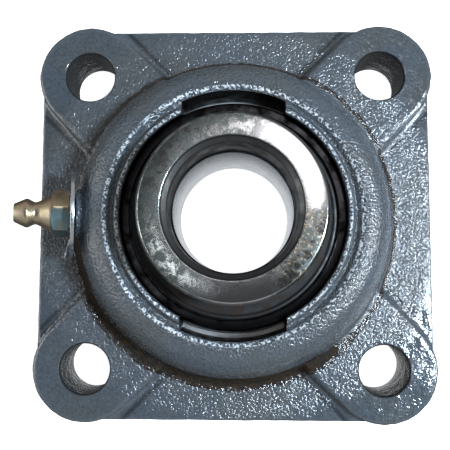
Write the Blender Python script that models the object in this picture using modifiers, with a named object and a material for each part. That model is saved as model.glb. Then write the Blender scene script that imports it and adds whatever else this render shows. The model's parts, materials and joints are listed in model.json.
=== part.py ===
"""Four-bolt square-flange bearing unit: cast housing, ball insert with an eccentric locking collar,
and an angled grease fitting. The mounting face lies on z = 0 and the shaft axis is +Z."""

from math import acos, asin, cos, pi, radians, sin, sqrt

import bmesh
import bpy
from mathutils import Matrix, Vector

MM = 0.001

# Housing
BOLT_SPACING = 70.0 * MM
BOLT_HOLE_RADIUS = 5.85 * MM
BOSS_RADIUS = 12.5 * MM
BOSS_TOP = 14.0 * MM
PLATE_HALF = 47.3 * MM
PLATE_TOP = 11.0 * MM
PLATE_CORNER = 12.6 * MM
ARM_TOP_HALF = 12.1 * MM
ARM_FOOT_HALF = 14.6 * MM
ARM_INNER_END = 15.0 * MM
BOSS_CHAMFER = 0.6 * MM
HUB_TOP = 29.6 * MM
SEAT_CENTRE_Z = 19.0 * MM
SEAT_RADIUS = 26.2 * MM
MOUTH_RADIUS = 24.6 * MM
SLOT_RADIUS = 27.2 * MM
SLOT_WIDTH = 22.8 * MM

# Ball insert
GAP = 0.3 * MM
RING_RADIUS = SEAT_RADIUS - GAP
RING_HALF_WIDTH = 7.5 * MM
RING_LAND_RADIUS = 22.0 * MM
SEAL_STEP_RADIUS = 22.9 * MM
SEAL_STEP_DEPTH = 1.6 * MM
BALL_COUNT = 9
BALL_RADIUS = 3.969 * MM
PITCH_RADIUS = 19.5 * MM
TRACK_RADIUS = BALL_RADIUS + 0.25 * MM
SHAFT_RADIUS = 12.7 * MM
SHOULDER_RADIUS = 16.9 * MM
SHOULDER_TOP = 9.7 * MM
CAM_TOP = 13.9 * MM
CAM_RADIUS = 15.2 * MM
CAM_OFFSET = 0.8 * MM
CAGE_THICKNESS = 0.7 * MM
CAGE_INNER = 17.7 * MM
CAGE_OUTER = 21.3 * MM
RIVET_RADIUS = 0.65 * MM

# Locking collar
COLLAR_RADIUS = 19.05 * MM
COLLAR_BOTTOM = 29.0 * MM
COLLAR_TOP = 42.5 * MM
COLLAR_BORE_RADIUS = 13.0 * MM
RECESS_TOP = 33.3 * MM
SCREW_RADIUS = 2.7 * MM
SCREW_LENGTH = 5.2 * MM
SCREW_Z = 37.9 * MM
SCREW_ANGLE = radians(-60)
DRIFT_HOLE_ANGLE = radians(30)

# Grease fitting, measured outward from the machined face of its small boss
FITTING_TILT = radians(14.84)
FITTING_SEAT = Vector((-36.0, 0.7, 21.0)) * MM
FITTING_BOSS_RADIUS = 5.5 * MM
SHANK_RADIUS = 3.7 * MM
SHANK_DEPTH = 5.6 * MM
WASHER_RADIUS = 9.85 * MM
WASHER_THICKNESS = 0.9 * MM
HEX_FLATS = 9.4 * MM
HEX_TURN = radians(-17.5)
HEX_BOTTOM = 1.5 * MM
HEX_TOP = 5.35 * MM
NECK_Z = 8.9 * MM
HEAD_Z = 10.7 * MM
TIP_Z = 13.5 * MM
TIP_BORE_RADIUS = 0.6 * MM
CHAMBER_RADIUS = 1.3 * MM
CHAMBER_BOTTOM = 6.2 * MM
CHAMBER_TOP = 12.2 * MM
CHECK_BALL_RADIUS = 0.95 * MM
CHECK_BALL_Z = CHAMBER_TOP - 1.25 * MM
TONGUE_SIZE = (3.2 * MM, 4.6 * MM, 0.45 * MM)
TONGUE_BEND = radians(17)

TURN_STEPS = 40
SMALL_STEPS = 16
CLEAR = 1.0 * MM


def collection(name):
    made = bpy.data.collections.new(name)
    bpy.context.scene.collection.children.link(made)
    return made


def material(name, colour, roughness, metallic):
    made = bpy.data.materials.new(name)
    made.use_nodes = True
    shader = made.node_tree.nodes["Principled BSDF"]
    shader.inputs["Base Color"].default_value = (*colour, 1.0)
    shader.inputs["Roughness"].default_value = roughness
    shader.inputs["Metallic"].default_value = metallic
    return made


def add_object(name, mesh, group):
    made = bpy.data.objects.new(name, mesh)
    group.objects.link(made)
    if group is CUTTERS:
        made.hide_render = True
        made.display_type = "WIRE"
    return made


def arc(centre_r, centre_z, radius, start, end, count):
    """Points of a profile arc; angles run from +r towards +z."""
    steps = [start + (end - start) * i / count for i in range(count + 1)]
    return [(centre_r + radius * cos(a), centre_z + radius * sin(a)) for a in steps]


def turned(name, outline, group, steps=TURN_STEPS, ring=False):
    """Solid of revolution about local Z; the outline runs down the outer side."""
    mesh = bpy.data.meshes.new(name)
    edges = [(i, i + 1) for i in range(len(outline) - 1)]
    if ring:
        edges.append((len(outline) - 1, 0))
    mesh.from_pydata([(r, 0.0, z) for r, z in outline], edges, [])
    made = add_object(name, mesh, group)
    screw = made.modifiers.new("Turn", "SCREW")
    screw.axis = "Z"
    screw.angle = 2 * pi
    screw.steps = steps
    screw.render_steps = steps
    screw.use_merge_vertices = True
    screw.merge_threshold = 0.000001
    screw.use_smooth_shade = True
    return made


def cylinder(name, radius, bottom, top, group, steps=SMALL_STEPS):
    """Upright cylinder between two heights of its own axis."""
    bm = bmesh.new()
    place = Matrix.Translation((0, 0, (bottom + top) / 2))
    bmesh.ops.create_cone(
        bm, cap_ends=True, segments=steps, radius1=radius, radius2=radius, depth=top - bottom, matrix=place
    )
    return from_bmesh(name, bm, group)


def box(name, size, centre, group):
    bm = bmesh.new()
    place = Matrix.Translation(centre) @ Matrix.Diagonal((*size, 1.0))
    bmesh.ops.create_cube(bm, size=1.0, matrix=place)
    return from_bmesh(name, bm, group)


def sphere(name, radius, group, steps=12, rings=8):
    bm = bmesh.new()
    bmesh.ops.create_uvsphere(bm, u_segments=steps, v_segments=rings, radius=radius)
    return from_bmesh(name, bm, group)


def from_bmesh(name, bm, group):
    mesh = bpy.data.meshes.new(name)
    bm.to_mesh(mesh)
    bm.free()
    return add_object(name, mesh, group)


def boolean(target, tool, operation="DIFFERENCE"):
    made = target.modifiers.new(operation.title(), "BOOLEAN")
    made.operation = operation
    made.solver = "EXACT"
    made.object = tool


def finish(target, look, sharp=radians(35)):
    """Turn the evaluated shape into a plain mesh with its round stretches smooth and its material set."""
    bpy.context.view_layer.update()
    seen = target.evaluated_get(bpy.context.evaluated_depsgraph_get())
    mesh = bpy.data.meshes.new_from_object(seen)
    target.modifiers.clear()
    target.data = mesh
    mesh.materials.clear()
    mesh.materials.append(look)
    mesh.shade_smooth()
    mesh.set_sharp_from_angle(angle=sharp)
    return target


def on_circle(radius, angle, z=0.0):
    return Vector((radius * cos(angle), radius * sin(angle), z))


def along_fitting(target):
    """Stand a piece made along +Z on the grease boss, pointing outward."""
    target.location = FITTING_SEAT
    target.rotation_euler = (0, FITTING_TILT - pi / 2, 0)
    return target


# ---------------------------------------------------------------- housing


def hub_outline():
    return [
        (0, HUB_TOP),
        (25.3 * MM, HUB_TOP),
        (25.8 * MM, 29.2 * MM),
        (26.3 * MM, 28.5 * MM),
        (26.9 * MM, 28.5 * MM),
        (27.4 * MM, 29.2 * MM),
        (28.2 * MM, 29.4 * MM),
        (29.8 * MM, 29.1 * MM),
        (31.2 * MM, 28.5 * MM),
        (32.5 * MM, 27.4 * MM),
        (33.6 * MM, 25.8 * MM),
        (34.5 * MM, 23.7 * MM),
        (35.5 * MM, 20.5 * MM),
        (36.4 * MM, 17.0 * MM),
        (37.2 * MM, 14.2 * MM),
        (38.0 * MM, 12.0 * MM),
        (39.6 * MM, 10.6 * MM),
        (39.6 * MM, -2 * CLEAR),
        (0, -2 * CLEAR),
    ]


def seat_outline():
    """Bore of the housing: a chamfered mouth, the spherical seat and a straight rear opening."""
    edge = acos(MOUTH_RADIUS / SEAT_RADIUS)
    return [
        (0, HUB_TOP + CLEAR),
        (MOUTH_RADIUS + 0.6 * MM + CLEAR, HUB_TOP + CLEAR),
        (MOUTH_RADIUS, HUB_TOP - 0.6 * MM),
        *arc(0, SEAT_CENTRE_Z, SEAT_RADIUS, edge, -edge, 8),
        (MOUTH_RADIUS, 0.8 * MM),
        (MOUTH_RADIUS + 0.8 * MM + 4 * CLEAR, -4 * CLEAR),
        (0, -4 * CLEAR),
    ]


def plate():
    """Square plate with round corners that stay inside the corner bosses."""
    size = (2 * PLATE_HALF, 2 * PLATE_HALF, PLATE_TOP + CLEAR)
    made = box("plate", size, (0, 0, (PLATE_TOP - CLEAR) / 2), CUTTERS)
    bm = bmesh.new()
    bm.from_mesh(made.data)
    upright = [e for e in bm.edges if abs(e.verts[0].co.z - e.verts[1].co.z) > CLEAR]
    bmesh.ops.bevel(bm, geom=upright, offset=PLATE_CORNER, segments=6, profile=0.5, affect="EDGES")
    bm.to_mesh(made.data)
    bm.free()
    return made


def arm(index):
    """Corner boss and its raised arm as one hull; the arm's sides slope out to a wider foot by the hub."""
    foot_z = PLATE_TOP - 0.5 * MM
    size = (CLEAR, 2 * ARM_TOP_HALF, BOSS_TOP - foot_z)
    made = box(f"arm_{index}", size, (ARM_INNER_END, 0, (BOSS_TOP + foot_z) / 2), CUTTERS)
    bm = bmesh.new()
    bm.from_mesh(made.data)
    for vertex in bm.verts:
        if vertex.co.z < PLATE_TOP:
            vertex.co.y *= ARM_FOOT_HALF / ARM_TOP_HALF
    centre = Vector((BOLT_SPACING / sqrt(2), 0, 0))
    rings = (
        (BOSS_RADIUS, -3 * CLEAR),
        (BOSS_RADIUS, BOSS_TOP - BOSS_CHAMFER),
        (BOSS_RADIUS - BOSS_CHAMFER, BOSS_TOP),
    )
    for radius, z in rings:
        place = Matrix.Translation(centre + Vector((0, 0, z)))
        bmesh.ops.create_circle(bm, segments=32, radius=radius, matrix=place)
    hull = bmesh.ops.convex_hull(bm, input=bm.verts)
    spare = [item for item in hull["geom_interior"] if isinstance(item, bmesh.types.BMVert)]
    bmesh.ops.delete(bm, geom=spare, context="VERTS")
    bmesh.ops.dissolve_limit(bm, angle_limit=radians(0.5), verts=bm.verts, edges=bm.edges)
    bm.to_mesh(made.data)
    bm.free()
    made.rotation_euler.z = radians(45 + 90 * index)
    return made


def bolt_hole(index):
    made = cylinder(f"bolt_hole_{index}", BOLT_HOLE_RADIUS, -5 * CLEAR, BOSS_TOP + CLEAR, CUTTERS, steps=24)
    made.location = on_circle(BOLT_SPACING / sqrt(2), radians(45 + 90 * index))
    return made


def loading_slots():
    """The two notches in the mouth through which the insert goes in edgewise."""
    top = HUB_TOP + CLEAR
    made = cylinder("loading_slots", SLOT_RADIUS, SEAT_CENTRE_Z, top, CUTTERS, steps=TURN_STEPS)
    middle = (SEAT_CENTRE_Z + HUB_TOP) / 2
    limit = box("slot_limit", (SLOT_WIDTH, 3 * SLOT_RADIUS, 20 * MM), (0, 0, middle), CUTTERS)
    boolean(made, limit, "INTERSECT")
    return made


def housing():
    made = turned("housing", hub_outline(), PARTS)
    boolean(made, plate(), "UNION")
    for index in range(4):
        boolean(made, arm(index), "UNION")
    grease_boss = cylinder("grease_boss", FITTING_BOSS_RADIUS, -9 * MM, 0, CUTTERS, steps=24)
    boolean(made, along_fitting(grease_boss), "UNION")
    boolean(made, turned("seat", seat_outline(), CUTTERS))
    boolean(made, loading_slots())
    for index in range(4):
        boolean(made, bolt_hole(index))
    shank_hole = cylinder("shank_hole", SHANK_RADIUS + GAP, -6.5 * MM, CLEAR, CUTTERS)
    boolean(made, along_fitting(shank_hole))
    grease_way = cylinder("grease_way", 1.6 * MM, -18 * MM, -6 * MM, CUTTERS, steps=12)
    boolean(made, along_fitting(grease_way))
    boolean(made, box("below", (0.2, 0.2, 10 * MM), (0, 0, -5 * MM), CUTTERS))
    return finish(made, CAST_PAINT, radians(28))


# ---------------------------------------------------------------- ball insert


def outer_ring():
    """Spherical outside with a grease groove, ball track inside and a step for each seal."""
    edge = asin(RING_HALF_WIDTH / RING_RADIUS)
    groove_top = asin(-1.3 * MM / RING_RADIUS)
    groove_bottom = asin(-4.7 * MM / RING_RADIUS)
    groove_radius = RING_RADIUS - 0.8 * MM
    track_edge = acos((RING_LAND_RADIUS - PITCH_RADIUS) / TRACK_RADIUS)
    step = RING_HALF_WIDTH - SEAL_STEP_DEPTH
    outline = [
        *arc(0, 0, RING_RADIUS, edge, groove_top, 4),
        (groove_radius, -1.5 * MM),
        (groove_radius, -4.4 * MM),
        *arc(0, 0, RING_RADIUS, groove_bottom, -edge, 1),
        (SEAL_STEP_RADIUS, -RING_HALF_WIDTH),
        (SEAL_STEP_RADIUS, -step),
        (RING_LAND_RADIUS, -step),
        *arc(PITCH_RADIUS, 0, TRACK_RADIUS, -track_edge, track_edge, 6),
        (RING_LAND_RADIUS, step),
        (SEAL_STEP_RADIUS, step),
        (SEAL_STEP_RADIUS, RING_HALF_WIDTH),
    ]
    made = turned("outer_ring", outline, PARTS, ring=True)
    for index in range(2):
        port = cylinder(f"grease_port_{index}", 0.8 * MM, 20 * MM, 27 * MM, CUTTERS, steps=8)
        port.rotation_euler = (0, pi / 2, radians(90 + 180 * index))
        port.location.z = -4.0 * MM
        boolean(made, port)
    finish(made, RING_STEEL)
    made.location.z = SEAT_CENTRE_Z
    return made


def inner_ring():
    """Ball track outside, plain bore, and the off-centre cam stub that the collar grips."""
    track_edge = acos((PITCH_RADIUS - SHOULDER_RADIUS) / TRACK_RADIUS)
    outline = [
        (0, SHOULDER_TOP),
        (SHOULDER_RADIUS - 0.3 * MM, SHOULDER_TOP),
        (SHOULDER_RADIUS, SHOULDER_TOP - 0.3 * MM),
        *arc(PITCH_RADIUS, 0, TRACK_RADIUS, pi - track_edge, pi + track_edge, 6),
        (SHOULDER_RADIUS, 0.3 * MM - RING_HALF_WIDTH),
        (SHOULDER_RADIUS - 0.3 * MM, -RING_HALF_WIDTH),
        (0, -RING_HALF_WIDTH),
    ]
    made = turned("inner_ring", outline, PARTS)
    cam = cylinder("cam", CAM_RADIUS, SHOULDER_TOP - 2 * CLEAR, CAM_TOP, CUTTERS, steps=TURN_STEPS)
    cam.location.x = CAM_OFFSET
    boolean(made, cam, "UNION")
    boolean(made, cylinder("shaft_bore", SHAFT_RADIUS, -0.02, 0.02, CUTTERS, steps=TURN_STEPS))
    finish(made, RING_STEEL)
    made.location.z = SEAT_CENTRE_Z
    return made


def ball_angle(index):
    return 2 * pi * (index + 0.25) / BALL_COUNT


def balls():
    first = finish(sphere("ball_1", BALL_RADIUS, PARTS), BALL_STEEL, pi)
    first.location = on_circle(PITCH_RADIUS, ball_angle(0), SEAT_CENTRE_Z)
    for index in range(1, BALL_COUNT):
        copy = add_object(f"ball_{index + 1}", first.data, PARTS)
        copy.location = on_circle(PITCH_RADIUS, ball_angle(index), SEAT_CENTRE_Z)


def cage_half(name, side):
    """Stamped ribbon: flat between the balls and domed over each one, as half of a riveted cage."""
    low = GAP / 2
    pocket_radius = BALL_RADIUS + 1.6 * GAP
    dome_radius = pocket_radius + CAGE_THICKNESS
    ribbon = [
        (CAGE_OUTER + CLEAR, low + CAGE_THICKNESS),
        (CAGE_OUTER + CLEAR, -CLEAR),
        (CAGE_INNER - CLEAR, -CLEAR),
        (CAGE_INNER - CLEAR, low + CAGE_THICKNESS),
    ]
    limit = [
        (CAGE_OUTER, 2 * dome_radius),
        (CAGE_OUTER, low),
        (CAGE_INNER, low),
        (CAGE_INNER, 2 * dome_radius),
    ]
    hole_radius = RIVET_RADIUS + 1.2 * GAP
    made = turned(name, ribbon, PARTS, ring=True)
    band = turned(f"{name}_band", limit, CUTTERS, ring=True)
    for index in range(BALL_COUNT):
        dome = sphere(f"{name}_dome_{index}", dome_radius, CUTTERS, steps=10, rings=6)
        dome.location = on_circle(PITCH_RADIUS, ball_angle(index))
        boolean(made, dome, "UNION")
    boolean(made, band, "INTERSECT")
    for index in range(BALL_COUNT):
        pocket = sphere(f"{name}_pocket_{index}", pocket_radius, CUTTERS, steps=10, rings=6)
        pocket.location = on_circle(PITCH_RADIUS, ball_angle(index))
        boolean(made, pocket)
        hole = cylinder(f"{name}_hole_{index}", hole_radius, -CLEAR, 2 * CLEAR, CUTTERS, steps=6)
        hole.location = on_circle(PITCH_RADIUS, ball_angle(index + 0.5))
        boolean(made, hole)
    finish(made, CAGE_STEEL)
    if side < 0:
        made.data.transform(Matrix.Scale(-1, 4, (0, 0, 1)))
        made.data.flip_normals()
    made.location.z = SEAT_CENTRE_Z
    return made


def cage_rivets():
    head_low = GAP / 2 + CAGE_THICKNESS + GAP
    head_high = head_low + 0.6 * MM
    head_radius = 2 * RIVET_RADIUS
    outline = [
        (0, head_high),
        (head_radius * 0.6, head_high),
        (head_radius, head_low),
        (RIVET_RADIUS, head_low),
        (RIVET_RADIUS, -head_low),
        (head_radius, -head_low),
        (head_radius * 0.6, -head_high),
        (0, -head_high),
    ]
    for index in range(BALL_COUNT):
        made = finish(turned(f"cage_rivet_{index + 1}", outline, PARTS, steps=8), CAGE_STEEL)
        made.location = on_circle(PITCH_RADIUS, ball_angle(index + 0.5), SEAT_CENTRE_Z)


def seal(name, side):
    """Rubber ring that closes the space between the two races, lipped at its inner edge."""
    far = RING_HALF_WIDTH - 0.4 * MM
    near = RING_HALF_WIDTH - SEAL_STEP_DEPTH + GAP
    outline = [
        (SEAL_STEP_RADIUS - GAP, far),
        (SEAL_STEP_RADIUS - GAP, near),
        (SHOULDER_RADIUS + 1.2 * MM, near),
        (SHOULDER_RADIUS + GAP + 0.05 * MM, near - 0.4 * MM),
        (SHOULDER_RADIUS + GAP + 0.05 * MM, far - 0.2 * MM),
        (SHOULDER_RADIUS + 1.0 * MM, far),
    ]
    made = finish(turned(name, outline, PARTS, ring=True), RUBBER)
    if side < 0:
        made.data.transform(Matrix.Scale(-1, 4, (0, 0, 1)))
        made.data.flip_normals()
    made.location.z = SEAT_CENTRE_Z
    return made


# ---------------------------------------------------------------- locking collar


def locking_collar():
    """Collar with an off-centre recess behind, a chamfered bore, a screw hole and a blind drift hole."""
    outline = [
        (0, COLLAR_TOP),
        (COLLAR_RADIUS - 0.8 * MM, COLLAR_TOP),
        (COLLAR_RADIUS, COLLAR_TOP - 0.8 * MM),
        (COLLAR_RADIUS, COLLAR_BOTTOM + 0.4 * MM),
        (COLLAR_RADIUS - 0.4 * MM, COLLAR_BOTTOM),
        (0, COLLAR_BOTTOM),
    ]
    bore = [
        (0, COLLAR_TOP + CLEAR),
        (COLLAR_BORE_RADIUS + 1.3 * MM + CLEAR, COLLAR_TOP + CLEAR),
        (COLLAR_BORE_RADIUS, COLLAR_TOP - 1.3 * MM),
        (COLLAR_BORE_RADIUS, COLLAR_BOTTOM - CLEAR),
        (0, COLLAR_BOTTOM - CLEAR),
    ]
    made = turned("locking_collar", outline, PARTS)
    below = COLLAR_BOTTOM - 2 * CLEAR
    recess = cylinder("recess", CAM_RADIUS + GAP, below, RECESS_TOP, CUTTERS, steps=TURN_STEPS)
    recess.location.x = CAM_OFFSET
    screw_hole = cylinder("screw_hole", SCREW_RADIUS + GAP, 10 * MM, 22 * MM, CUTTERS)
    drift_hole = cylinder("drift_hole", 2.5 * MM, COLLAR_RADIUS - 3.5 * MM, 22 * MM, CUTTERS)
    for tool, angle in ((screw_hole, SCREW_ANGLE), (drift_hole, DRIFT_HOLE_ANGLE)):
        tool.rotation_euler = (0, pi / 2, angle)
        tool.location.z = SCREW_Z
    boolean(made, turned("collar_bore", bore, CUTTERS))
    for tool in (recess, screw_hole, drift_hole):
        boolean(made, tool)
    return finish(made, COLLAR_STEEL)


def collar_set_screw():
    """Socket screw lying radially in the collar wall, cup end inward, its origin on the wall's outside."""
    outer = -0.3 * MM
    inner = outer - SCREW_LENGTH
    outline = [
        (0, outer),
        (SCREW_RADIUS - 0.4 * MM, outer),
        (SCREW_RADIUS, outer - 0.4 * MM),
        (SCREW_RADIUS, inner + 0.6 * MM),
        (SCREW_RADIUS - 0.6 * MM, inner),
        (1.0 * MM, inner),
        (0, inner + 0.5 * MM),
    ]
    made = turned("collar_set_screw", outline, PARTS, steps=SMALL_STEPS)
    boolean(made, cylinder("socket", 1.6 * MM, outer - 2.4 * MM, outer + CLEAR, CUTTERS, steps=6))
    finish(made, SCREW_STEEL)
    made.rotation_euler = (0, pi / 2, SCREW_ANGLE)
    made.location = on_circle(COLLAR_RADIUS, SCREW_ANGLE, SCREW_Z)
    return made


# ---------------------------------------------------------------- grease fitting


def grease_fitting_body():
    """Hexagon, waisted neck, tapered head and plain shank around an open grease way."""
    turned_outline = [
        (0, TIP_Z),
        (1.9 * MM, TIP_Z),
        (2.1 * MM, TIP_Z - 0.2 * MM),
        (3.1 * MM, HEAD_Z + 0.3 * MM),
        (3.25 * MM, HEAD_Z),
        (3.1 * MM, HEAD_Z - 0.5 * MM),
        (2.5 * MM, NECK_Z),
        (2.75 * MM, NECK_Z - 0.9 * MM),
        (4.1 * MM, HEX_TOP + 0.3 * MM),
        (4.6 * MM, HEX_TOP - 0.2 * MM),
        (4.6 * MM, HEX_BOTTOM + 0.1 * MM),
        (SHANK_RADIUS, HEX_BOTTOM + 0.1 * MM),
        (SHANK_RADIUS, -SHANK_DEPTH + 0.6 * MM),
        (SHANK_RADIUS - 0.6 * MM, -SHANK_DEPTH),
        (0, -SHANK_DEPTH),
    ]
    way = [
        (0, TIP_Z + CLEAR),
        (TIP_BORE_RADIUS, TIP_Z + CLEAR),
        (TIP_BORE_RADIUS, CHAMBER_TOP),
        (CHAMBER_RADIUS, CHAMBER_TOP - 0.6 * MM),
        (CHAMBER_RADIUS, CHAMBER_BOTTOM),
        (TIP_BORE_RADIUS, CHAMBER_BOTTOM),
        (TIP_BORE_RADIUS, -SHANK_DEPTH - CLEAR),
        (0, -SHANK_DEPTH - CLEAR),
    ]
    made = turned("grease_fitting_body", turned_outline, PARTS, steps=20)
    hexagon = cylinder("hexagon", HEX_FLATS / sqrt(3), HEX_BOTTOM, HEX_TOP, CUTTERS, steps=6)
    hexagon.rotation_euler.z = HEX_TURN
    boolean(made, hexagon, "UNION")
    boolean(made, turned("way", way, CUTTERS, steps=12))
    finish(made, PLATED_STEEL, radians(25))
    return along_fitting(made)


def grease_fitting_ball():
    """Check ball just below the mouth of the fitting, with its origin at its own centre."""
    ball = sphere("grease_fitting_ball", CHECK_BALL_RADIUS, PARTS, steps=10, rings=6)
    made = along_fitting(finish(ball, BALL_STEEL, pi))
    made.location += made.rotation_euler.to_matrix() @ Vector((0, 0, CHECK_BALL_Z))
    return made


def grease_fitting_spring():
    """Compression spring under the check ball."""
    wire = 0.14 * MM
    coil_radius = 0.8 * MM
    turns = 5
    per_turn = 9
    bottom = CHAMBER_BOTTOM + GAP
    top = CHECK_BALL_Z - CHECK_BALL_RADIUS * 0.75 - GAP
    curve = bpy.data.curves.new("grease_fitting_spring", "CURVE")
    curve.dimensions = "3D"
    curve.bevel_depth = wire
    curve.bevel_resolution = 0
    curve.use_fill_caps = True
    count = turns * per_turn
    spline = curve.splines.new("POLY")
    spline.points.add(count)
    for i in range(count + 1):
        angle = 2 * pi * i / per_turn
        height = bottom + wire + (top - bottom - 2 * wire) * i / count
        spline.points[i].co = (coil_radius * cos(angle), coil_radius * sin(angle), height, 1.0)
    guide = add_object("spring_path", curve, CUTTERS)
    bpy.context.view_layer.update()
    seen = guide.evaluated_get(bpy.context.evaluated_depsgraph_get())
    mesh = bpy.data.meshes.new_from_object(seen)
    bm = bmesh.new()
    bm.from_mesh(mesh)
    bmesh.ops.remove_doubles(bm, verts=bm.verts, dist=0.000001)
    bm.to_mesh(mesh)
    bm.free()
    bpy.data.objects.remove(guide)
    made = add_object("grease_fitting_spring", mesh, PARTS)
    return along_fitting(finish(made, SPRING_STEEL))


def fitting_washer():
    """Thin round washer under the hexagon, with one narrow tongue bent outward at its -Y rim."""
    low = GAP
    high = GAP + WASHER_THICKNESS
    hole = SHANK_RADIUS + GAP
    outline = [(WASHER_RADIUS, high), (WASHER_RADIUS, low), (hole, low), (hole, high)]
    made = turned("fitting_washer", outline, PARTS, steps=32, ring=True)
    tongue = box("tongue", TONGUE_SIZE, (0, -TONGUE_SIZE[1] / 2, 0.1 * MM), CUTTERS)
    tongue.rotation_euler.x = -TONGUE_BEND
    tongue.location = (0, -5.6 * MM, high - 0.2 * MM)
    boolean(made, tongue, "UNION")
    return along_fitting(finish(made, WASHER_STEEL))


for old in list(bpy.data.objects):
    bpy.data.objects.remove(old, do_unlink=True)

PARTS = collection("flange_mount_bearing")
CUTTERS = collection("cutters")

CAST_PAINT = material("cast_paint", (0.105, 0.125, 0.14), 0.38, 0.1)
RING_STEEL = material("ring_steel", (0.55, 0.56, 0.57), 0.22, 1.0)
BALL_STEEL = material("ball_steel", (0.7, 0.71, 0.72), 0.08, 1.0)
CAGE_STEEL = material("cage_steel", (0.5, 0.49, 0.46), 0.35, 1.0)
COLLAR_STEEL = material("collar_steel", (0.42, 0.43, 0.44), 0.25, 1.0)
SCREW_STEEL = material("screw_steel", (0.05, 0.05, 0.055), 0.45, 0.8)
RUBBER = material("seal_rubber", (0.012, 0.012, 0.013), 0.6, 0.0)
PLATED_STEEL = material("plated_steel", (0.62, 0.55, 0.36), 0.25, 1.0)
SPRING_STEEL = material("spring_steel", (0.4, 0.4, 0.42), 0.3, 1.0)
WASHER_STEEL = material("washer_steel", (0.66, 0.68, 0.7), 0.25, 1.0)

housing()
outer_ring()
inner_ring()
balls()
cage_half("cage_front_half", 1)
cage_half("cage_rear_half", -1)
cage_rivets()
seal("front_seal", 1)
seal("rear_seal", -1)
locking_collar()
collar_set_screw()
grease_fitting_body()
grease_fitting_ball()
grease_fitting_spring()
fitting_washer()
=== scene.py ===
"""Four-bolt flange bearing unit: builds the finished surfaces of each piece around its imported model."""

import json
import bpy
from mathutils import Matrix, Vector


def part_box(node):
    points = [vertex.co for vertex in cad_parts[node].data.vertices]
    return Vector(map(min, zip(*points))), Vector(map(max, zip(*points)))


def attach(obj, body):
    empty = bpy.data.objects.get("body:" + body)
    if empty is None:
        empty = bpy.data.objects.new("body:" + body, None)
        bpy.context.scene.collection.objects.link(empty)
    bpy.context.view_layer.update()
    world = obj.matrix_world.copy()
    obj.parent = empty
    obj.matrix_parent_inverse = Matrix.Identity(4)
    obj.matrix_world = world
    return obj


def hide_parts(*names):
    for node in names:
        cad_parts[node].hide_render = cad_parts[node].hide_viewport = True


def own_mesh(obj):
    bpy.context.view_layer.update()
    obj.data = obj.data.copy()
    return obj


bl_info = {
    "name": "Flange Mount Bearing",
    "version": (1, 0, 0),
    "blender": (4, 5, 0),
    "location": "3D View > Sidebar > Flange Bearing",
    "description": "Cast square-flange bearing unit with ball insert, locking collar and grease fitting",
    "category": "Add Mesh",
}

from math import acos, asin, cos, pi, radians, sin, sqrt

import bmesh
import bpy
from bpy.props import FloatProperty, FloatVectorProperty, IntProperty, PointerProperty
from mathutils import Matrix, Vector

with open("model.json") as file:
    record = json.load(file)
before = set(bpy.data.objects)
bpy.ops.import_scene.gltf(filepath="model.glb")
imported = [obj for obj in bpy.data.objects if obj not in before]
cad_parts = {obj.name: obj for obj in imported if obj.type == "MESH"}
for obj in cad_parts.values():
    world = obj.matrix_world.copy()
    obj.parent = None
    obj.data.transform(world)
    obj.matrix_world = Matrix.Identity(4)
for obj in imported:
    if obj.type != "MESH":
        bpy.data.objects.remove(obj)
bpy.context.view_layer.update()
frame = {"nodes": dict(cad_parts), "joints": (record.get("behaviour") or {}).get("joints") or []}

MM = 0.001
HOUSING_LOW, HOUSING_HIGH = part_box("housing")
RING_LOW, RING_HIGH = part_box("outer_ring")
INNER_LOW, INNER_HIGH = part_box("inner_ring")
COLLAR_LOW, COLLAR_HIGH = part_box("locking_collar")
BALL_LOW, BALL_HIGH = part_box("ball_1")
CHECK_LOW, CHECK_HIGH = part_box("grease_fitting_ball")
CHECK_MIDDLE = (CHECK_LOW + CHECK_HIGH) / 2
BALL_MIDDLE = (BALL_LOW + BALL_HIGH) / 2
BALL_RADIUS = (BALL_HIGH.z - BALL_LOW.z) / 2
RING_HALF = (RING_HIGH.z - RING_LOW.z) / 2
TRACK_ROOM = 0.25 * MM
SEAT_Z = (RING_LOW.z + RING_HIGH.z) / 2
BALL_COUNT = sum(name.startswith("ball_") for name in frame["nodes"])


def joint_axis(name):
    """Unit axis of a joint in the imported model."""
    found = next(joint for joint in frame["joints"] if joint["name"] == name)
    return Vector(found["axis"]).normalized()


# ---------------------------------------------------------------- settings


def size(name, value, text):
    return FloatProperty(name=name, description=text, default=value, unit="LENGTH", precision=5)


def level(name, value, text):
    return FloatProperty(name=name, description=text, default=value, min=0.0)


def colour(name, value, text):
    return FloatVectorProperty(
        name=name, description=text, default=value, size=3, min=0.0, max=1.0, subtype="COLOR"
    )


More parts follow.
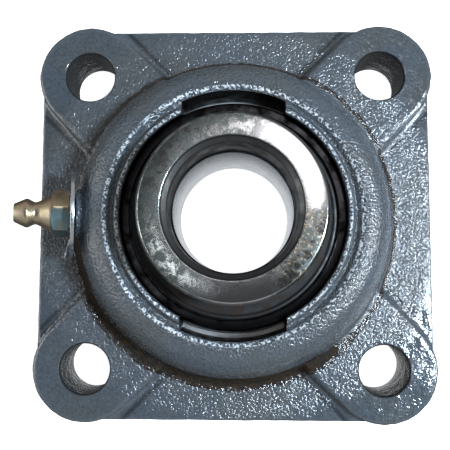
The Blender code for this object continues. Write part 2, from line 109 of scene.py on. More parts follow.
class HousingSettings(bpy.types.PropertyGroup):
    flange_half: size("Flange half width", HOUSING_HIGH.y, "Half the flange across its corner bosses")
    edge_inset: size("Edge inset", 0.2 * MM, "How far the straight edges stand in from the bosses")
    boss_radius: size("Boss radius", 12.5 * MM, "Radius of the corner bosses")
    bolt_hole: size("Bolt hole radius", 5.85 * MM, "Radius of the four bolt holes")
    plate_top: size("Plate top", 11.0 * MM, "Height of the plate between the arms")
    boss_top: size("Boss top", 14.0 * MM, "Height of the arms and bosses")
    arm_half: size("Arm half width", 12.1 * MM, "Half the width of an arm's flat top")
    arm_foot: size("Arm foot", 14.6 * MM, "Half the width of an arm where it meets the plate by the hub")
    mouth_radius: size("Mouth radius", 24.6 * MM, "Radius of the hub's mouth and of the rear opening")
    seat_radius: size("Seat radius", 26.2 * MM, "Radius of the spherical seat")
    slot_radius: size("Slot radius", 27.2 * MM, "How far out the two loading slots reach")
    slot_width: size("Slot width", 22.8 * MM, "Width of the two loading slots")
    outer_lip: size("Outer lip", 27.9 * MM, "Radius of the outer lip round the mouth")
    inner_lip: size("Inner lip", 25.2 * MM, "Radius of the inner lip round the mouth")
    hub_foot: size("Hub foot", 38.7 * MM, "Radius of the crease where the hub meets the plate")
    grain: size("Casting detail", 0.42 * MM, "Edge length of the casting's surface mesh")
    softening: IntProperty(
        name="Softening", description="Passes that round the casting's edges", default=9, min=0
    )


class InsertSettings(bpy.types.PropertyGroup):
    ring_radius: size("Outer ring radius", 25.9 * MM, "Radius of the outer ring's spherical outside")
    land_radius: size("Land radius", 22.0 * MM, "Radius of the outer ring's lands")
    seal_step: size("Seal step radius", 22.9 * MM, "Radius of the step that holds each seal")
    pitch_radius: size("Pitch radius", 19.5 * MM, "Radius of the circle of ball centres")
    shoulder_radius: size("Shoulder radius", 16.9 * MM, "Radius of the inner ring's shoulders")
    shaft_radius: size("Shaft radius", 12.7 * MM, "Radius of the inner ring's bore")
    cam_radius: size("Cam radius", 15.2 * MM, "Radius of the off-centre stub on the inner ring")
    cam_offset: size("Cam offset", 0.8 * MM, "How far the stub's axis stands off the shaft's")
    clearance: size("Clearance", 0.3 * MM, "Gap between neighbouring pieces")


class CollarSettings(bpy.types.PropertyGroup):
    bore_radius: size("Bore radius", 13.0 * MM, "Radius of the collar's bore")
    recess_depth: size("Recess depth", 4.3 * MM, "Depth of the off-centre recess behind")
    face_inner: size("Face inner radius", 14.3 * MM, "Where the collar's flat face ends at the bore")
    screw_radius: size("Set screw radius", 2.7 * MM, "Radius of the set screw")
    screw_height: size("Set screw height", 37.9 * MM, "Height of the set screw's axis")


class FittingSettings(bpy.types.PropertyGroup):
    shank_radius: size("Shank radius", 3.7 * MM, "Radius of the fitting's shank")
    hex_flats: size("Hexagon width", 9.4 * MM, "Across the hexagon's flats")
    washer_radius: size("Washer radius", 9.85 * MM, "Radius of the washer")
    washer_thickness: size("Washer thickness", 0.9 * MM, "Thickness of the washer")
    check_radius: size("Check ball radius", 0.95 * MM, "Radius of the check ball in the fitting's head")


class FinishSettings(bpy.types.PropertyGroup):
    paint: colour("Paint", (0.056, 0.068, 0.080), "Main colour of the casting's paint")
    paint_warm: colour("Warm paint", (0.060, 0.067, 0.070), "Warmer patches of the paint")
    rust: colour("Rust", (0.024, 0.011, 0.005), "Rust in the paint beside the hub's foot")
    # painted highlight along the two lips of the hub's mouth
    lip_highlight: colour("Rubbed lips", (0.62, 0.66, 0.70), "Worn grain along the two lips of the hub's mouth")
    # painted shade in the arms' creases, the bolt holes and the hub's crease, and real dirt in the oil film
    dirt_and_shade: colour("Dirt", (0.004, 0.004, 0.0035), "Dirt in the creases of the casting")
    # near-black painted shade in the crease at the hub's foot
    grease: colour("Old grease", (0.006, 0.006, 0.005), "Old grease in the hub's foot")
    crumbling_rust: colour("Crumbling rust", (0.030, 0.018, 0.009), "Crumbs of rust in the hub's foot")
    bright_steel: colour("Bright steel", (0.66, 0.67, 0.69), "Turned steel of the collar")
    ring_steel: colour("Ring steel", (0.30, 0.33, 0.38), "Ground steel of the inner ring")
    # dark oil film, its near-black tone painted shade on the ring's face and in the mouth
    oil_and_shade_steel: colour("Oiled steel", (0.030, 0.030, 0.033), "Outer ring and seat under dark oil")
    stain: colour("Oil stain", (0.13, 0.155, 0.15), "Dark stains on the collar's face")
    oil_gold: colour("Golden oil", (0.80, 0.66, 0.42), "Golden specks of oil on the collar's face")
    rubber: colour("Rubber", (0.010, 0.010, 0.011), "Moulded seals")
    plating: colour("Yellow plating", (0.66, 0.53, 0.32), "Yellow zinc plating of the grease fitting")
    # painted reflection: cool green-grey on the hexagon's lower faces
    cool_reflection_tint: colour("Cool plating", (0.20, 0.29, 0.30), "Green-grey drift of the plating")
    zinc: colour("Bright zinc", (0.74, 0.76, 0.79), "Bright zinc of the washer")


class StageSettings(bpy.types.PropertyGroup):
    focal_length: level("Focal length", 51.53, "Lens in millimetres")
    camera_x: size("Camera X", 1.721 * MM, "Camera place across the flange")
    camera_y: size("Camera Y", -13.933 * MM, "Camera place along the flange")
    camera_z: size("Camera height", 166.27 * MM, "Camera height over the mounting face")
    camera_turn: FloatVectorProperty(
        name="Camera turn", description="Lean of the camera from straight down", subtype="EULER",
        default=(0.084, 0.025, 0.003),
    )
    floor: colour("Floor", (0.9, 0.9, 0.9), "Plain floor")
    floor_glow: level("Floor glow", 1.0, "Light given off by the floor")
    side_light: level("Side light", 0.4, "Even light from all round")
    top_light: level("Top light", 0.06, "Even light from straight above")
    table_light: level("Table light", 0.1, "Light mirrored from round about")
    lamp: level("Lamp", 272.0, "Brightness of the small lamp's surface")
    low_lamp: level("Low lamp", 0.13, "Brightness of the low lamp as a share of the lamp's")
    card: level("Cards", 3.0, "Brightness of the cards overhead")
    side_card: level("Side card", 2.0, "Brightness of the card at the side")


class BearingSettings(bpy.types.PropertyGroup):
    housing: PointerProperty(type=HousingSettings)
    insert: PointerProperty(type=InsertSettings)
    collar: PointerProperty(type=CollarSettings)
    fitting: PointerProperty(type=FittingSettings)
    finish: PointerProperty(type=FinishSettings)
    stage: PointerProperty(type=StageSettings)


def settings():
    return bpy.context.scene.flange_bearing


# ---------------------------------------------------------------- shapes


def in_mm(*corners):
    """Corners given in millimetres, as metres."""
    return [tuple(value * MM for value in corner) for corner in corners]


def rounded(corners, closed=False, steps=4):
    """Outline through corners given as (distance from axis, height, fillet), each fillet a short curve."""
    points = []
    for index, (x, z, fillet) in enumerate(corners):
        here = Vector((x, z))
        is_end = not closed and index in (0, len(corners) - 1)
        if fillet == 0 or is_end:
            points.append(here)
            continue
        before = Vector(corners[index - 1][:2]) - here
        after = Vector(corners[(index + 1) % len(corners)][:2]) - here
        reach = min(fillet, 0.45 * before.length, 0.45 * after.length)
        start = here + before.normalized() * reach
        end = here + after.normalized() * reach
        for step in range(steps + 1):
            t = step / steps
            points.append(start * (1 - t) ** 2 + here * 2 * t * (1 - t) + end * t**2)
    return points


def arc(centre_x, centre_z, radius, start, end, count):
    """Corners along an arc, for use in an outline; angles run from outward towards up."""
    angles = [start + (end - start) * i / count for i in range(count + 1)]
    return [(centre_x + radius * cos(a), centre_z + radius * sin(a), 0) for a in angles]


def turned(points, steps, closed=False):
    """Closed mesh swept once around Z from an outline of (distance from axis, height)."""
    bm = bmesh.new()
    verts = [bm.verts.new((x, 0, z)) for x, z in points]
    edges = [bm.edges.new(pair) for pair in zip(verts, verts[1:])]
    if closed:
        edges.append(bm.edges.new((verts[-1], verts[0])))
    bmesh.ops.spin(
        bm, geom=verts + edges, angle=2 * pi, steps=steps, axis=(0, 0, 1), cent=(0, 0, 0), use_merge=True
    )
    bmesh.ops.remove_doubles(bm, verts=bm.verts, dist=1e-7)
    bmesh.ops.recalc_face_normals(bm, faces=bm.faces)
    return to_mesh(bm)


def lathed(corners, steps, closed=False):
    """Mesh turned about Z from corners with fillets."""
    return turned(rounded(corners, closed), steps, closed)


def drum(radius, bottom, top, steps):
    """Plain closed cylinder about Z, mostly used as a cutting tool."""
    bm = bmesh.new()
    middle = Matrix.Translation((0, 0, (bottom + top) / 2))
    bmesh.ops.create_cone(
        bm, cap_ends=True, segments=steps, radius1=radius, radius2=radius, depth=top - bottom, matrix=middle
    )
    return to_mesh(bm)


def block(low, high):
    """Plain closed box between two corners."""
    bm = bmesh.new()
    low, high = Vector(low), Vector(high)
    place = Matrix.Translation((low + high) / 2) @ Matrix.Diagonal((*(high - low), 1))
    bmesh.ops.create_cube(bm, size=1, matrix=place)
    return to_mesh(bm)


def bevelled(mesh, width, climb=-1, segments=2):
    """Mesh with its edges bevelled, or only those that climb by more than a given height."""
    bm = bmesh.new()
    bm.from_mesh(mesh)
    edges = [edge for edge in bm.edges if abs(edge.verts[0].co.z - edge.verts[1].co.z) > climb]
    bmesh.ops.bevel(bm, geom=edges, offset=width, segments=segments, profile=0.5, affect="EDGES")
    return to_mesh(bm)


def to_mesh(bm):
    mesh = bpy.data.meshes.new("work")
    bm.to_mesh(mesh)
    bm.free()
    return mesh


def placed(mesh, matrix):
    mesh.transform(matrix)
    return mesh


def joined(meshes):
    """One mesh holding the shells of several."""
    bm = bmesh.new()
    for mesh in meshes:
        bm.from_mesh(mesh)
        bpy.data.meshes.remove(mesh)
    return to_mesh(bm)


def in_scene(name, data):
    """New object at the origin."""
    made = bpy.data.objects.new(name, data)
    bpy.context.scene.collection.objects.link(made)
    return made


def modify(target, kind, **values):
    """Add a modifier with its settings."""
    made = target.modifiers.new(kind.title(), kind)
    for name, value in values.items():
        setattr(made, name, value)
    return made


def baked(target):
    """Plain mesh of an object with its modifiers, after which the object is gone."""
    bpy.context.view_layer.update()
    seen = target.evaluated_get(bpy.context.evaluated_depsgraph_get())
    mesh = bpy.data.meshes.new_from_object(seen)
    bpy.data.objects.remove(target)
    return mesh


def combined(base, tools, operation="DIFFERENCE"):
    """Mesh of a solid after a Boolean with each tool in turn."""
    body = in_scene("work", base)
    helpers = [in_scene("work", tool) for tool in tools]
    for helper in helpers:
        modify(body, "BOOLEAN", operation=operation, solver="MANIFOLD", object=helper)
    mesh = baked(body)
    for helper in helpers:
        bpy.data.objects.remove(helper)
    if len(mesh.polygons) == 0:
        raise RuntimeError("a Boolean left nothing")
    return mesh


def piece(name, mesh, look, body, nodes, sharp=radians(35)):
    """Finished piece: named, shaded, painted and riding on its body in place of its CAD nodes."""
    mesh.name = name
    mesh.materials.clear()
    for each in look if isinstance(look, (list, tuple)) else [look]:
        mesh.materials.append(each)
    mesh.shade_smooth()
    mesh.set_sharp_from_angle(angle=sharp)
    made = in_scene(name, mesh)
    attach(made, body)
    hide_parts(*nodes)
    return made


def angle_of(place):
    """Angle of a place or a direction round the shaft axis, from +X towards +Y."""
    return -Vector((1, 0)).angle_signed(place.to_2d())


def turn_z(angle):
    return Matrix.Rotation(angle, 4, "Z")


def at_seat(mesh):
    """Mesh lifted from the origin to the middle of the insert."""
    return placed(mesh, Matrix.Translation((0, 0, SEAT_Z)))


def radial(angle, height):
    """Placement that lays a piece made along +Z outward along a radius, at a height."""
    return Matrix.Translation((0, 0, height)) @ turn_z(angle) @ Matrix.Rotation(pi / 2, 4, "Y")


# ---------------------------------------------------------------- node trees


class Tree:
    """Short way to add and link nodes; a socket is named, or numbered where its name repeats."""

    def __init__(self, tree):
        self.tree = tree

    def add(self, kind, options=None, **sockets):
        made = self.tree.nodes.new(kind)
        for name, value in (options or {}).items():
            setattr(made, name, value)
        for name, value in sockets.items():
            numbered = name[0] == "n" and name[1:].isdigit()
            self.put(made, int(name[1:]) if numbered else name.replace("_", " "), value)
        return made

    def put(self, made, key, value):
        if isinstance(value, bpy.types.NodeSocket):
            self.tree.links.new(value, made.inputs[key])
        else:
            made.inputs[key].default_value = value

    def math(self, operation, first, second=0.0, third=None):
        sockets = {"n0": first, "n1": second}
        if third is not None:
            sockets["n2"] = third
        return self.add("ShaderNodeMath", {"operation": operation}, **sockets).outputs[0]

    def times(self, first, second):
        return self.math("MULTIPLY", first, second)

    def apart(self, first, second):
        """How far two values are from each other."""
        return self.math("ABSOLUTE", self.math("SUBTRACT", first, second))

    def span(self, value, low, high, out_low=0.0, out_high=1.0):
        """Value mapped smoothly from one range to another and held at its ends."""
        made = self.add("ShaderNodeMapRange", {"interpolation_type": "SMOOTHSTEP"}, Value=value, From_Min=low,
                        From_Max=high, To_Min=out_low, To_Max=out_high)
        return made.outputs["Result"]

    def sway(self, clouds, low, high):
        """Value that goes from low to high across the middle of some clouds."""
        return self.span(clouds, 0.3, 0.7, low, high)

    def mix(self, part, first, second):
        """Colour that goes from the first to the second as part goes from 0 to 1."""
        made = self.add("ShaderNodeMix", {"data_type": "RGBA"}, n0=part)
        for key, value in ((6, first), (7, second)):
            self.put(made, key, value if isinstance(value, bpy.types.NodeSocket) else (*value, 1))
        return made.outputs[2]


class Look(Tree):
    """Material with one Principled shader, whose patterns read the piece's own coordinates."""

    def __init__(self, name, metallic, roughness, **shader_values):
        self.material = bpy.data.materials.new(name)
        self.material.use_nodes = True
        super().__init__(self.material.node_tree)
        self.shader = self.tree.nodes["Principled BSDF"]
        for key, value in {"Metallic": metallic, "Roughness": roughness, **shader_values}.items():
            self.put(self.shader, key.replace("_", " "), value)
        self.place = self.add("ShaderNodeTexCoord").outputs["Object"]

    def clouds(self, width, detail=2.0, roughness=0.5, distortion=0.0):
        """Noise whose blobs are about as wide as the given width, in metres."""
        made = self.add("ShaderNodeTexNoise", Vector=self.place, Scale=1 / width, Detail=detail,
                        Roughness=roughness, Distortion=distortion)
        return made.outputs["Fac"]

    def spread(self, x, y):
        """Length of a step across the flange."""
        flat = self.add("ShaderNodeCombineXYZ", X=x, Y=y).outputs[0]
        return self.add("ShaderNodeVectorMath", {"operation": "LENGTH"}, n0=flat).outputs["Value"]

    def coordinates(self):
        """Distance from the shaft axis, and the three coordinates."""
        x, y, z = self.add("ShaderNodeSeparateXYZ", Vector=self.place).outputs
        return self.spread(x, y), x, y, z

    def rings(self, way, pitch):
        """Waves of a cutting tool, one every pitch."""
        return self.math("SINE", self.times(way, 2 * pi / pitch))

    def finished(self, base, roughness=None, layers=()):
        """The material with its colour, roughness and bumps, each (height, depth in metres, strength)."""
        self.put(self.shader, "Base Color", base)
        if roughness is not None:
            self.put(self.shader, "Roughness", roughness)
        normal = None
        for height, depth, strength in layers:
            bump = self.add("ShaderNodeBump", Height=height, Distance=depth, Strength=strength)
            if normal:
                self.put(bump, "Normal", normal)
            normal = bump.outputs["Normal"]
        if normal:
            self.put(self.shader, "Normal", normal)
        return self.material


# ---------------------------------------------------------------- finishes


def arm_crease_shade(look, housing, distance, side_x, side_y, z):
    """Share of painted shade along the feet of the four arms, outside the hub."""
    across = look.times(look.apart(side_x, side_y), sqrt(0.5))
    from_foot = look.apart(across, housing.arm_foot)
    near_foot = look.span(from_foot, 0.9 * MM, 0.1 * MM, 0.0, 0.6)
    crease = look.times(near_foot, look.span(z, 12.4 * MM, 11.2 * MM))
    return look.times(crease, look.span(distance, 38.5 * MM, 39.5 * MM))


def bolt_hole_shade(look, housing, side_x, side_y):
    """Share of painted shade on the walls of the four bolt holes."""
    bolt = bolt_places(housing)[0]
    from_bolt = look.spread(look.math("SUBTRACT", side_x, bolt.x), look.math("SUBTRACT", side_y, bolt.y))
    return look.span(from_bolt, housing.bolt_hole + 0.5 * MM, housing.bolt_hole + 0.1 * MM, 0.0, 0.75)


def hub_crease_rust_and_shade(look, housing, distance, x, y, z):
    """Share of rust and painted shade in the crease round the hub, wider on the lower left where the shade
    falls, with a wandering edge.
    """
    wander = look.math("MULTIPLY_ADD", look.clouds(1.6 * MM, 4, 0.65), 1.4 * MM, -0.7 * MM)
    off = look.math("ADD", look.math("SUBTRACT", distance, housing.hub_foot), wander)
    lower_left = look.math("MULTIPLY_ADD", y, 1.3, look.times(x, 0.7))
    width = look.span(lower_left, -8 * MM, -30 * MM, 0.35 * MM, 1.6 * MM)
    band = look.span(look.math("ABSOLUTE", off), look.math("ADD", width, 0.3 * MM), width)
    return look.times(band, look.span(z, 15.8 * MM, 15.2 * MM))


def painted_lip_highlights(look, housing, distance, z, grain):
    """Share of painted highlight along the two lips of the hub's mouth, on the grain's crests."""
    outer = look.span(look.apart(distance, housing.outer_lip), 0.55 * MM, 0.2 * MM)
    inner = look.span(look.apart(distance, housing.inner_lip), 0.45 * MM, 0.15 * MM)
    lips = look.times(look.math("MAXIMUM", outer, inner), look.span(z, 28.6 * MM, 28.9 * MM))
    return look.times(lips, look.span(grain, 0.47, 0.56, 0.0, 0.85))


def cast_paint():
    """Glossy blue-grey paint over coarse sand-cast grain, with painted highlights on the grain's crests and
    along the hub's lips, painted shade in the grain's hollows, the arms' creases and the bolt holes, and rust
    with painted shade round the hub's foot.
    """
    finish, housing = settings().finish, settings().housing
    look = Look("cast_paint", 0.0, 0.14, Specular_IOR_Level=1.0)
    distance, x, y, z = look.coordinates()
    side_x, side_y = look.math("ABSOLUTE", x), look.math("ABSOLUTE", y)
    grain = look.clouds(0.6 * MM)
    base = look.mix(look.span(look.clouds(14 * MM, 3), 0.42, 0.62), finish.paint, finish.paint_warm)
    # painted highlight: the grain's crests, the bump's high points, are painted lighter
    grain_crest_highlight = [min(1.0, 1.6 * value) for value in finish.paint]
    base = look.mix(look.span(grain, 0.5, 0.7, 0.0, 0.3), base, grain_crest_highlight)
    # painted shade: the grain's hollows, the bump's low points, are painted darker
    grain_hollow_shade = [0.45 * value for value in finish.paint]
    base = look.mix(look.span(grain, 0.48, 0.32, 0.0, 0.4), base, grain_hollow_shade)
    # painted shade: the creases at the arms' feet are painted near-black
    base = look.mix(arm_crease_shade(look, housing, distance, side_x, side_y, z), base, finish.dirt_and_shade)
    # painted shade: the bolt holes' walls are painted dark, as if in shadow
    base = look.mix(bolt_hole_shade(look, housing, side_x, side_y), base, finish.dirt_and_shade)
    # real rust crumbs over near-black painted shade, for the crease round the hub
    rust_and_shade = look.mix(look.span(look.clouds(0.9 * MM, 3, 0.6), 0.48, 0.62), finish.dirt_and_shade, finish.rust)
    base = look.mix(hub_crease_rust_and_shade(look, housing, distance, x, y, z), base, rust_and_shade)
    # painted highlight: light grey on the grain's crests along the lips
    base = look.mix(painted_lip_highlights(look, housing, distance, z, grain), base, finish.lip_highlight)
    gloss = look.sway(look.clouds(6 * MM, 3), 0.11, 0.18)
    smoother_bosses = look.span(distance, 46 * MM, 51 * MM, 1.0, 0.25)
    coarser_mouth = look.span(distance, 30 * MM, 28.5 * MM, 1.0, 1.7)
    coarse = look.times(grain, look.times(smoother_bosses, coarser_mouth))
    return look.finished(base, gloss, [(look.clouds(2.6 * MM), 0.3 * MM, 0.6), (coarse, 0.34 * MM, 1.0)])


def foot_rust_and_shade():
    """Dull brown rust in the foot of the hub over near-black painted shade, with low gloss so that the crease
    stays dark as if in shadow.
    """
    look = Look("foot_rust_and_shade", 0.0, 0.8, Specular_IOR_Level=0.2)
    crumbs = look.clouds(0.8 * MM, 4, 0.6)
    base = look.mix(look.span(crumbs, 0.42, 0.6), settings().finish.grease, settings().finish.crumbling_rust)
    return look.finished(base, look.sway(crumbs, 0.6, 0.95), [(crumbs, 0.25 * MM, 0.8)])


def machined_iron():
    """Bare milled iron of the mounting face and the seat, with fine arcs left by the cutter."""
    look = Look("machined_iron", 1.0, 0.38)
    tone = look.clouds(6 * MM, 4)
    base = look.mix(tone, (0.33, 0.33, 0.33), (0.46, 0.455, 0.44))
    rings = look.rings(look.coordinates()[0], 0.35 * MM)
    layers = [(rings, 0.01 * MM, 0.5), (look.clouds(0.4 * MM, 3), 0.02 * MM, 0.3)]
    return look.finished(base, look.sway(tone, 0.3, 0.48), layers)


def oil_and_shade_steel(name, rough):
    """Dark, wet-looking metal of the outer ring's face, the hub's mouth and the loading slots: an oil film
    whose near-black tone is painted shade where these lie in shadow.
    """
    finish = settings().finish
    look = Look(name, 1.0, rough)
    film = look.clouds(2.5 * MM, 3)
    base = look.mix(look.span(film, 0.4, 0.7), finish.oil_and_shade_steel, finish.dirt_and_shade)
    return look.finished(base, look.sway(film, 0.8 * rough, 1.3 * rough), [(film, 0.01 * MM, 0.3)])


def turned_steel(name, tone, rough, cloudy=0.4):
    """Bright steel with fine turning rings and a cloudy tone."""
    look = Look(name, 1.0, rough)
    distance, _, _, z = look.coordinates()
    rings = look.rings(look.math("ADD", distance, z), 0.22 * MM)
    clouds = look.clouds(3.5 * MM, 4, 0.6)
    base = look.mix(look.span(clouds, 0.35, 0.7), tone, [(1 - cloudy) * value for value in tone])
    gloss = look.sway(clouds, rough * (1 - cloudy / 2), rough * (1 + cloudy))
    layers = [(rings, 0.004 * MM, 0.35), (look.clouds(0.5 * MM, 3), 0.01 * MM, 0.25)]
    return look.finished(base, gloss, layers)


def collar_steel():
    """Turned collar steel, mirror-bright on one side; the other side is painted dimmer as a darker reflection
    and mottled with old oil, and the lower right is painted dark as a dark reflection, with golden oil
    specks.
    """
    finish = settings().finish
    look = Look("collar_steel", 1.0, 0.16)
    distance, x, y, z = look.coordinates()
    leaning = look.math("MULTIPLY_ADD", y, -0.35, x)
    # painted reflection: the face's lower right is painted dark, with real golden oil specks
    shaded_lower_right = look.times(look.span(y, 2 * MM, -2 * MM), look.span(x, 6 * MM, 11 * MM))
    # painted reflection: the left side is painted a dimmer grey for a darker reflection, and carries real oil
    # stains and haze
    dim_stained_side = look.math("MAXIMUM", look.span(leaning, 5 * MM, -6 * MM, 0.1, 1.0), shaded_lower_right)
    mottle = look.clouds(1.8 * MM, 5, 0.62, 0.2)
    base = look.mix(look.times(dim_stained_side, 0.75), finish.bright_steel, (0.44, 0.47, 0.46))
    # painted shade: the lower right darkened to a dim grey
    base = look.mix(look.times(shaded_lower_right, 0.6), base, (0.16, 0.16, 0.15))
    base = look.mix(look.times(look.span(mottle, 0.44, 0.56, 0.0, 0.85), dim_stained_side), base, finish.stain)
    gold = look.times(look.span(look.clouds(0.6 * MM, 4, 0.65), 0.54, 0.64), shaded_lower_right)
    base = look.mix(look.times(gold, 0.8), base, finish.oil_gold)
    haze = look.math("MULTIPLY_ADD", look.span(mottle, 0.42, 0.58), 0.16, 0.03)
    gloss = look.math("MULTIPLY_ADD", haze, dim_stained_side, 0.1)
    rings = look.rings(look.math("ADD", distance, z), 0.2 * MM)
    return look.finished(base, gloss, [(rings, 0.002 * MM, 0.3), (mottle, 0.06 * MM, 0.35)])


def ball_steel():
    """Polished bearing steel with the faintest haze."""
    look = Look("ball_steel", 1.0, 0.06)
    haze = look.clouds(1.5 * MM, 3)
    base = look.mix(haze, (0.72, 0.73, 0.75), (0.64, 0.65, 0.67))
    return look.finished(base, look.sway(haze, 0.04, 0.12))


def seal_rubber():
    """Black moulded rubber with a greasy sheen and a fine matt grain."""
    look = Look("seal_rubber", 0.0, 0.45, Specular_IOR_Level=0.35)
    grease = look.clouds(2.5 * MM, 3)
    base = look.mix(look.span(grease, 0.45, 0.7), settings().finish.rubber, (0.022, 0.014, 0.009))
    gloss = look.span(grease, 0.35, 0.65, 0.5, 0.3)
    return look.finished(base, gloss, [(look.clouds(0.35 * MM, 3), 0.02 * MM, 0.4)])


def plated_steel():
    """Zinc plating passivated yellow with rosy patches, going from darker brass on its upper side to a cool
    green-grey on the hexagon's lower faces; both are painted reflection.
    """
    finish = settings().finish
    look = Look("plated_steel", 1.0, 0.32)
    _, x, y, _ = look.coordinates()
    drift = look.clouds(2.2 * MM, 3, 0.5, 0.3)
    on_hexagon = look.span(x, -40.7 * MM, -40.3 * MM, 0.2, 1.0)
    # painted reflection: the hexagon's lower faces turn cool green-grey, with a random drift
    cool_reflection = look.times(look.span(y, 1.9 * MM, 1.1 * MM), on_hexagon)
    cool_reflection = look.times(cool_reflection, look.span(drift, 0.3, 0.55, 0.75, 1.0))
    # painted reflection: the upper side is painted a darker brown
    base = look.mix(look.span(y, 1 * MM, 4 * MM, 0.0, 0.6), finish.plating, (0.36, 0.27, 0.17))
    base = look.mix(look.span(look.clouds(1.6 * MM, 3), 0.42, 0.62, 0.0, 0.7), base, (0.60, 0.42, 0.34))
    base = look.mix(cool_reflection, base, finish.cool_reflection_tint)
    gloss = look.sway(drift, 0.26, 0.4)
    return look.finished(base, gloss, [(look.clouds(0.4 * MM, 3), 0.02 * MM, 0.4)])


def bright_zinc():
    """Bright zinc with a crystalline haze."""
    look = Look("bright_zinc", 1.0, 0.22)
    haze = look.clouds(1.2 * MM, 4)
    base = look.mix(haze, settings().finish.zinc, (0.55, 0.58, 0.62))
    gloss = look.sway(haze, 0.16, 0.34)
    return look.finished(base, gloss, [(look.clouds(0.5 * MM, 3), 0.012 * MM, 0.3)])


def black_oxide():
    """Black-oxide steel of the set screw."""
    look = Look("black_oxide", 0.85, 0.4)
    wear = look.clouds(0.9 * MM, 4)
    base = look.mix(look.span(wear, 0.5, 0.75), (0.035, 0.035, 0.038), (0.12, 0.115, 0.11))
    gloss = look.sway(wear, 0.32, 0.5)
    return look.finished(base, gloss, [(look.clouds(0.3 * MM, 3), 0.01 * MM, 0.4)])


def plain_floor():
    """Pale matt floor with the slightest mottle."""
    stage = settings().stage
    look = Look("plain_floor", 0.0, 0.6, Specular_IOR_Level=0.2)
    look.put(look.shader, "Emission Color", (1, 1, 1, 1))
    look.put(look.shader, "Emission Strength", stage.floor_glow)
    dimmer = [0.985 * value for value in stage.floor]
    return look.finished(look.mix(look.clouds(60 * MM), stage.floor, dimmer))


# ---------------------------------------------------------------- housing


def fitting_place():
    """Placement of the grease fitting: origin on its boss's machined face, +Z outward along the fitting."""
    outward = -joint_axis("check_ball_lift")
    ball_above_face = 10.95 * MM
    seat = CHECK_MIDDLE - outward * ball_above_face
    tilt = asin(outward.z)
    return Matrix.Translation(seat) @ Matrix.Rotation(tilt - pi / 2, 4, "Y")


def bolt_places(housing):
    half = housing.flange_half - housing.boss_radius
    return [Vector((half * sx, half * sy, 0)) for sx, sy in ((1, 1), (-1, 1), (-1, -1), (1, -1))]


def flange_plate(housing, below):
    """Square plate with round corners that stay inside the bosses."""
    half = housing.flange_half - housing.edge_inset
    corner = 12.6 * MM
    return bevelled(block((-half, -half, below), (half, half, housing.plate_top)), corner, MM, 10)


def flange_arm(housing, below):
    """Corner boss and its arm along +X as one hull, with sides that slope to a wider foot by the hub."""
    foot = housing.plate_top - 0.5 * MM
    centre = Vector(bolt_places(housing)[0]).length
    inner_end, chamfer = 15 * MM, 0.5 * MM
    bm = bmesh.new()
    for z, half in ((housing.boss_top, housing.arm_half), (foot, housing.arm_foot)):
        for y in (-half, half):
            bm.verts.new((inner_end, y, z))
    rings = ((housing.boss_radius, below), (housing.boss_radius, housing.boss_top - chamfer),
             (housing.boss_radius - chamfer, housing.boss_top))
    for radius, z in rings:
        bmesh.ops.create_circle(bm, segments=72, radius=radius, matrix=Matrix.Translation((centre, 0, z)))
    hull = bmesh.ops.convex_hull(bm, input=bm.verts)
    spare = [item for item in hull["geom_interior"] if isinstance(item, bmesh.types.BMVert)]
    bmesh.ops.delete(bm, geom=spare, context="VERTS")
    return to_mesh(bm)


def hub_shell(top, below):
    """The hub, from its top over the round shoulder to its foot."""
    shoulder = in_mm(
        (28.3, 29.45, 0.5), (29.8, 29.1, 0.7), (31.2, 28.5, 0.7), (32.5, 27.4, 0.8), (33.6, 25.8, 1),
        (34.5, 23.7, 1), (35.5, 20.5, 1), (36.4, 17.0, 1), (37.1, 14.2, 1), (37.7, 12.2, 0.6),
        (39.2, 10.6, 0.5),
    )
    foot = shoulder[-1][0]
    return lathed([(0, top, 0), (27.5 * MM, top, 0.2 * MM), *shoulder, (foot, below, 0), (0, below, 0)], 192)


def mouth_tool(housing):
    """What is cut from the hub about its axis: lip groove, mouth, spherical seat and rear opening."""
    edge = acos(housing.mouth_radius / housing.seat_radius)
    mouth, top = housing.mouth_radius, HOUSING_HIGH.z
    above = top + 4 * MM
    corners = [
        (0, above, 0), (28.6 * MM, above, 0),
        *in_mm((28.5, 29.5, 0.3), (27.7, 29.15, 0.4), (27.15, 28.5, 0.4)),
        *in_mm((26.65, 28.1, 0.4), (26.15, 28.5, 0.4), (25.85, 29.25, 0.4)),
        (25.5 * MM, top, 0.4 * MM), (24.95 * MM, top - 0.2 * MM, 0.3 * MM), (mouth, top - 0.8 * MM, 0.2 * MM),
        *arc(0, SEAT_Z, housing.seat_radius, edge, -edge, 24),
        (mouth, 0.8 * MM, 0.1 * MM), (mouth + 4.8 * MM, -4 * MM, 0), (0, -4 * MM, 0),
    ]
    return lathed(corners, 256)


def bolt_tool(housing, place):
    """What is cut for one bolt hole, with its mouths broken above and below."""
    radius, top, flare = housing.bolt_hole, housing.boss_top, 0.45 * MM
    corners = [
        (0, top + 3 * MM, 0), (radius + flare + 3 * MM, top + 3 * MM, 0), (radius, top - flare, 0.4 * MM),
        (radius, flare, 0.3 * MM), (radius + flare + 5 * MM, -5 * MM, 0), (0, -5 * MM, 0),
    ]
    return placed(lathed(corners, 96), Matrix.Translation(place))


def slot_tool(housing):
    """Both loading slots: a short drum kept to a band across the hub."""
    band = housing.slot_width / 2
    band = bevelled(block((-band, -30 * MM, SEAT_Z - 5 * MM), (band, 30 * MM, 40 * MM)), 0.4 * MM, 5 * MM)
    return combined(drum(housing.slot_radius, SEAT_Z, 36 * MM, 256), [band], "INTERSECT")


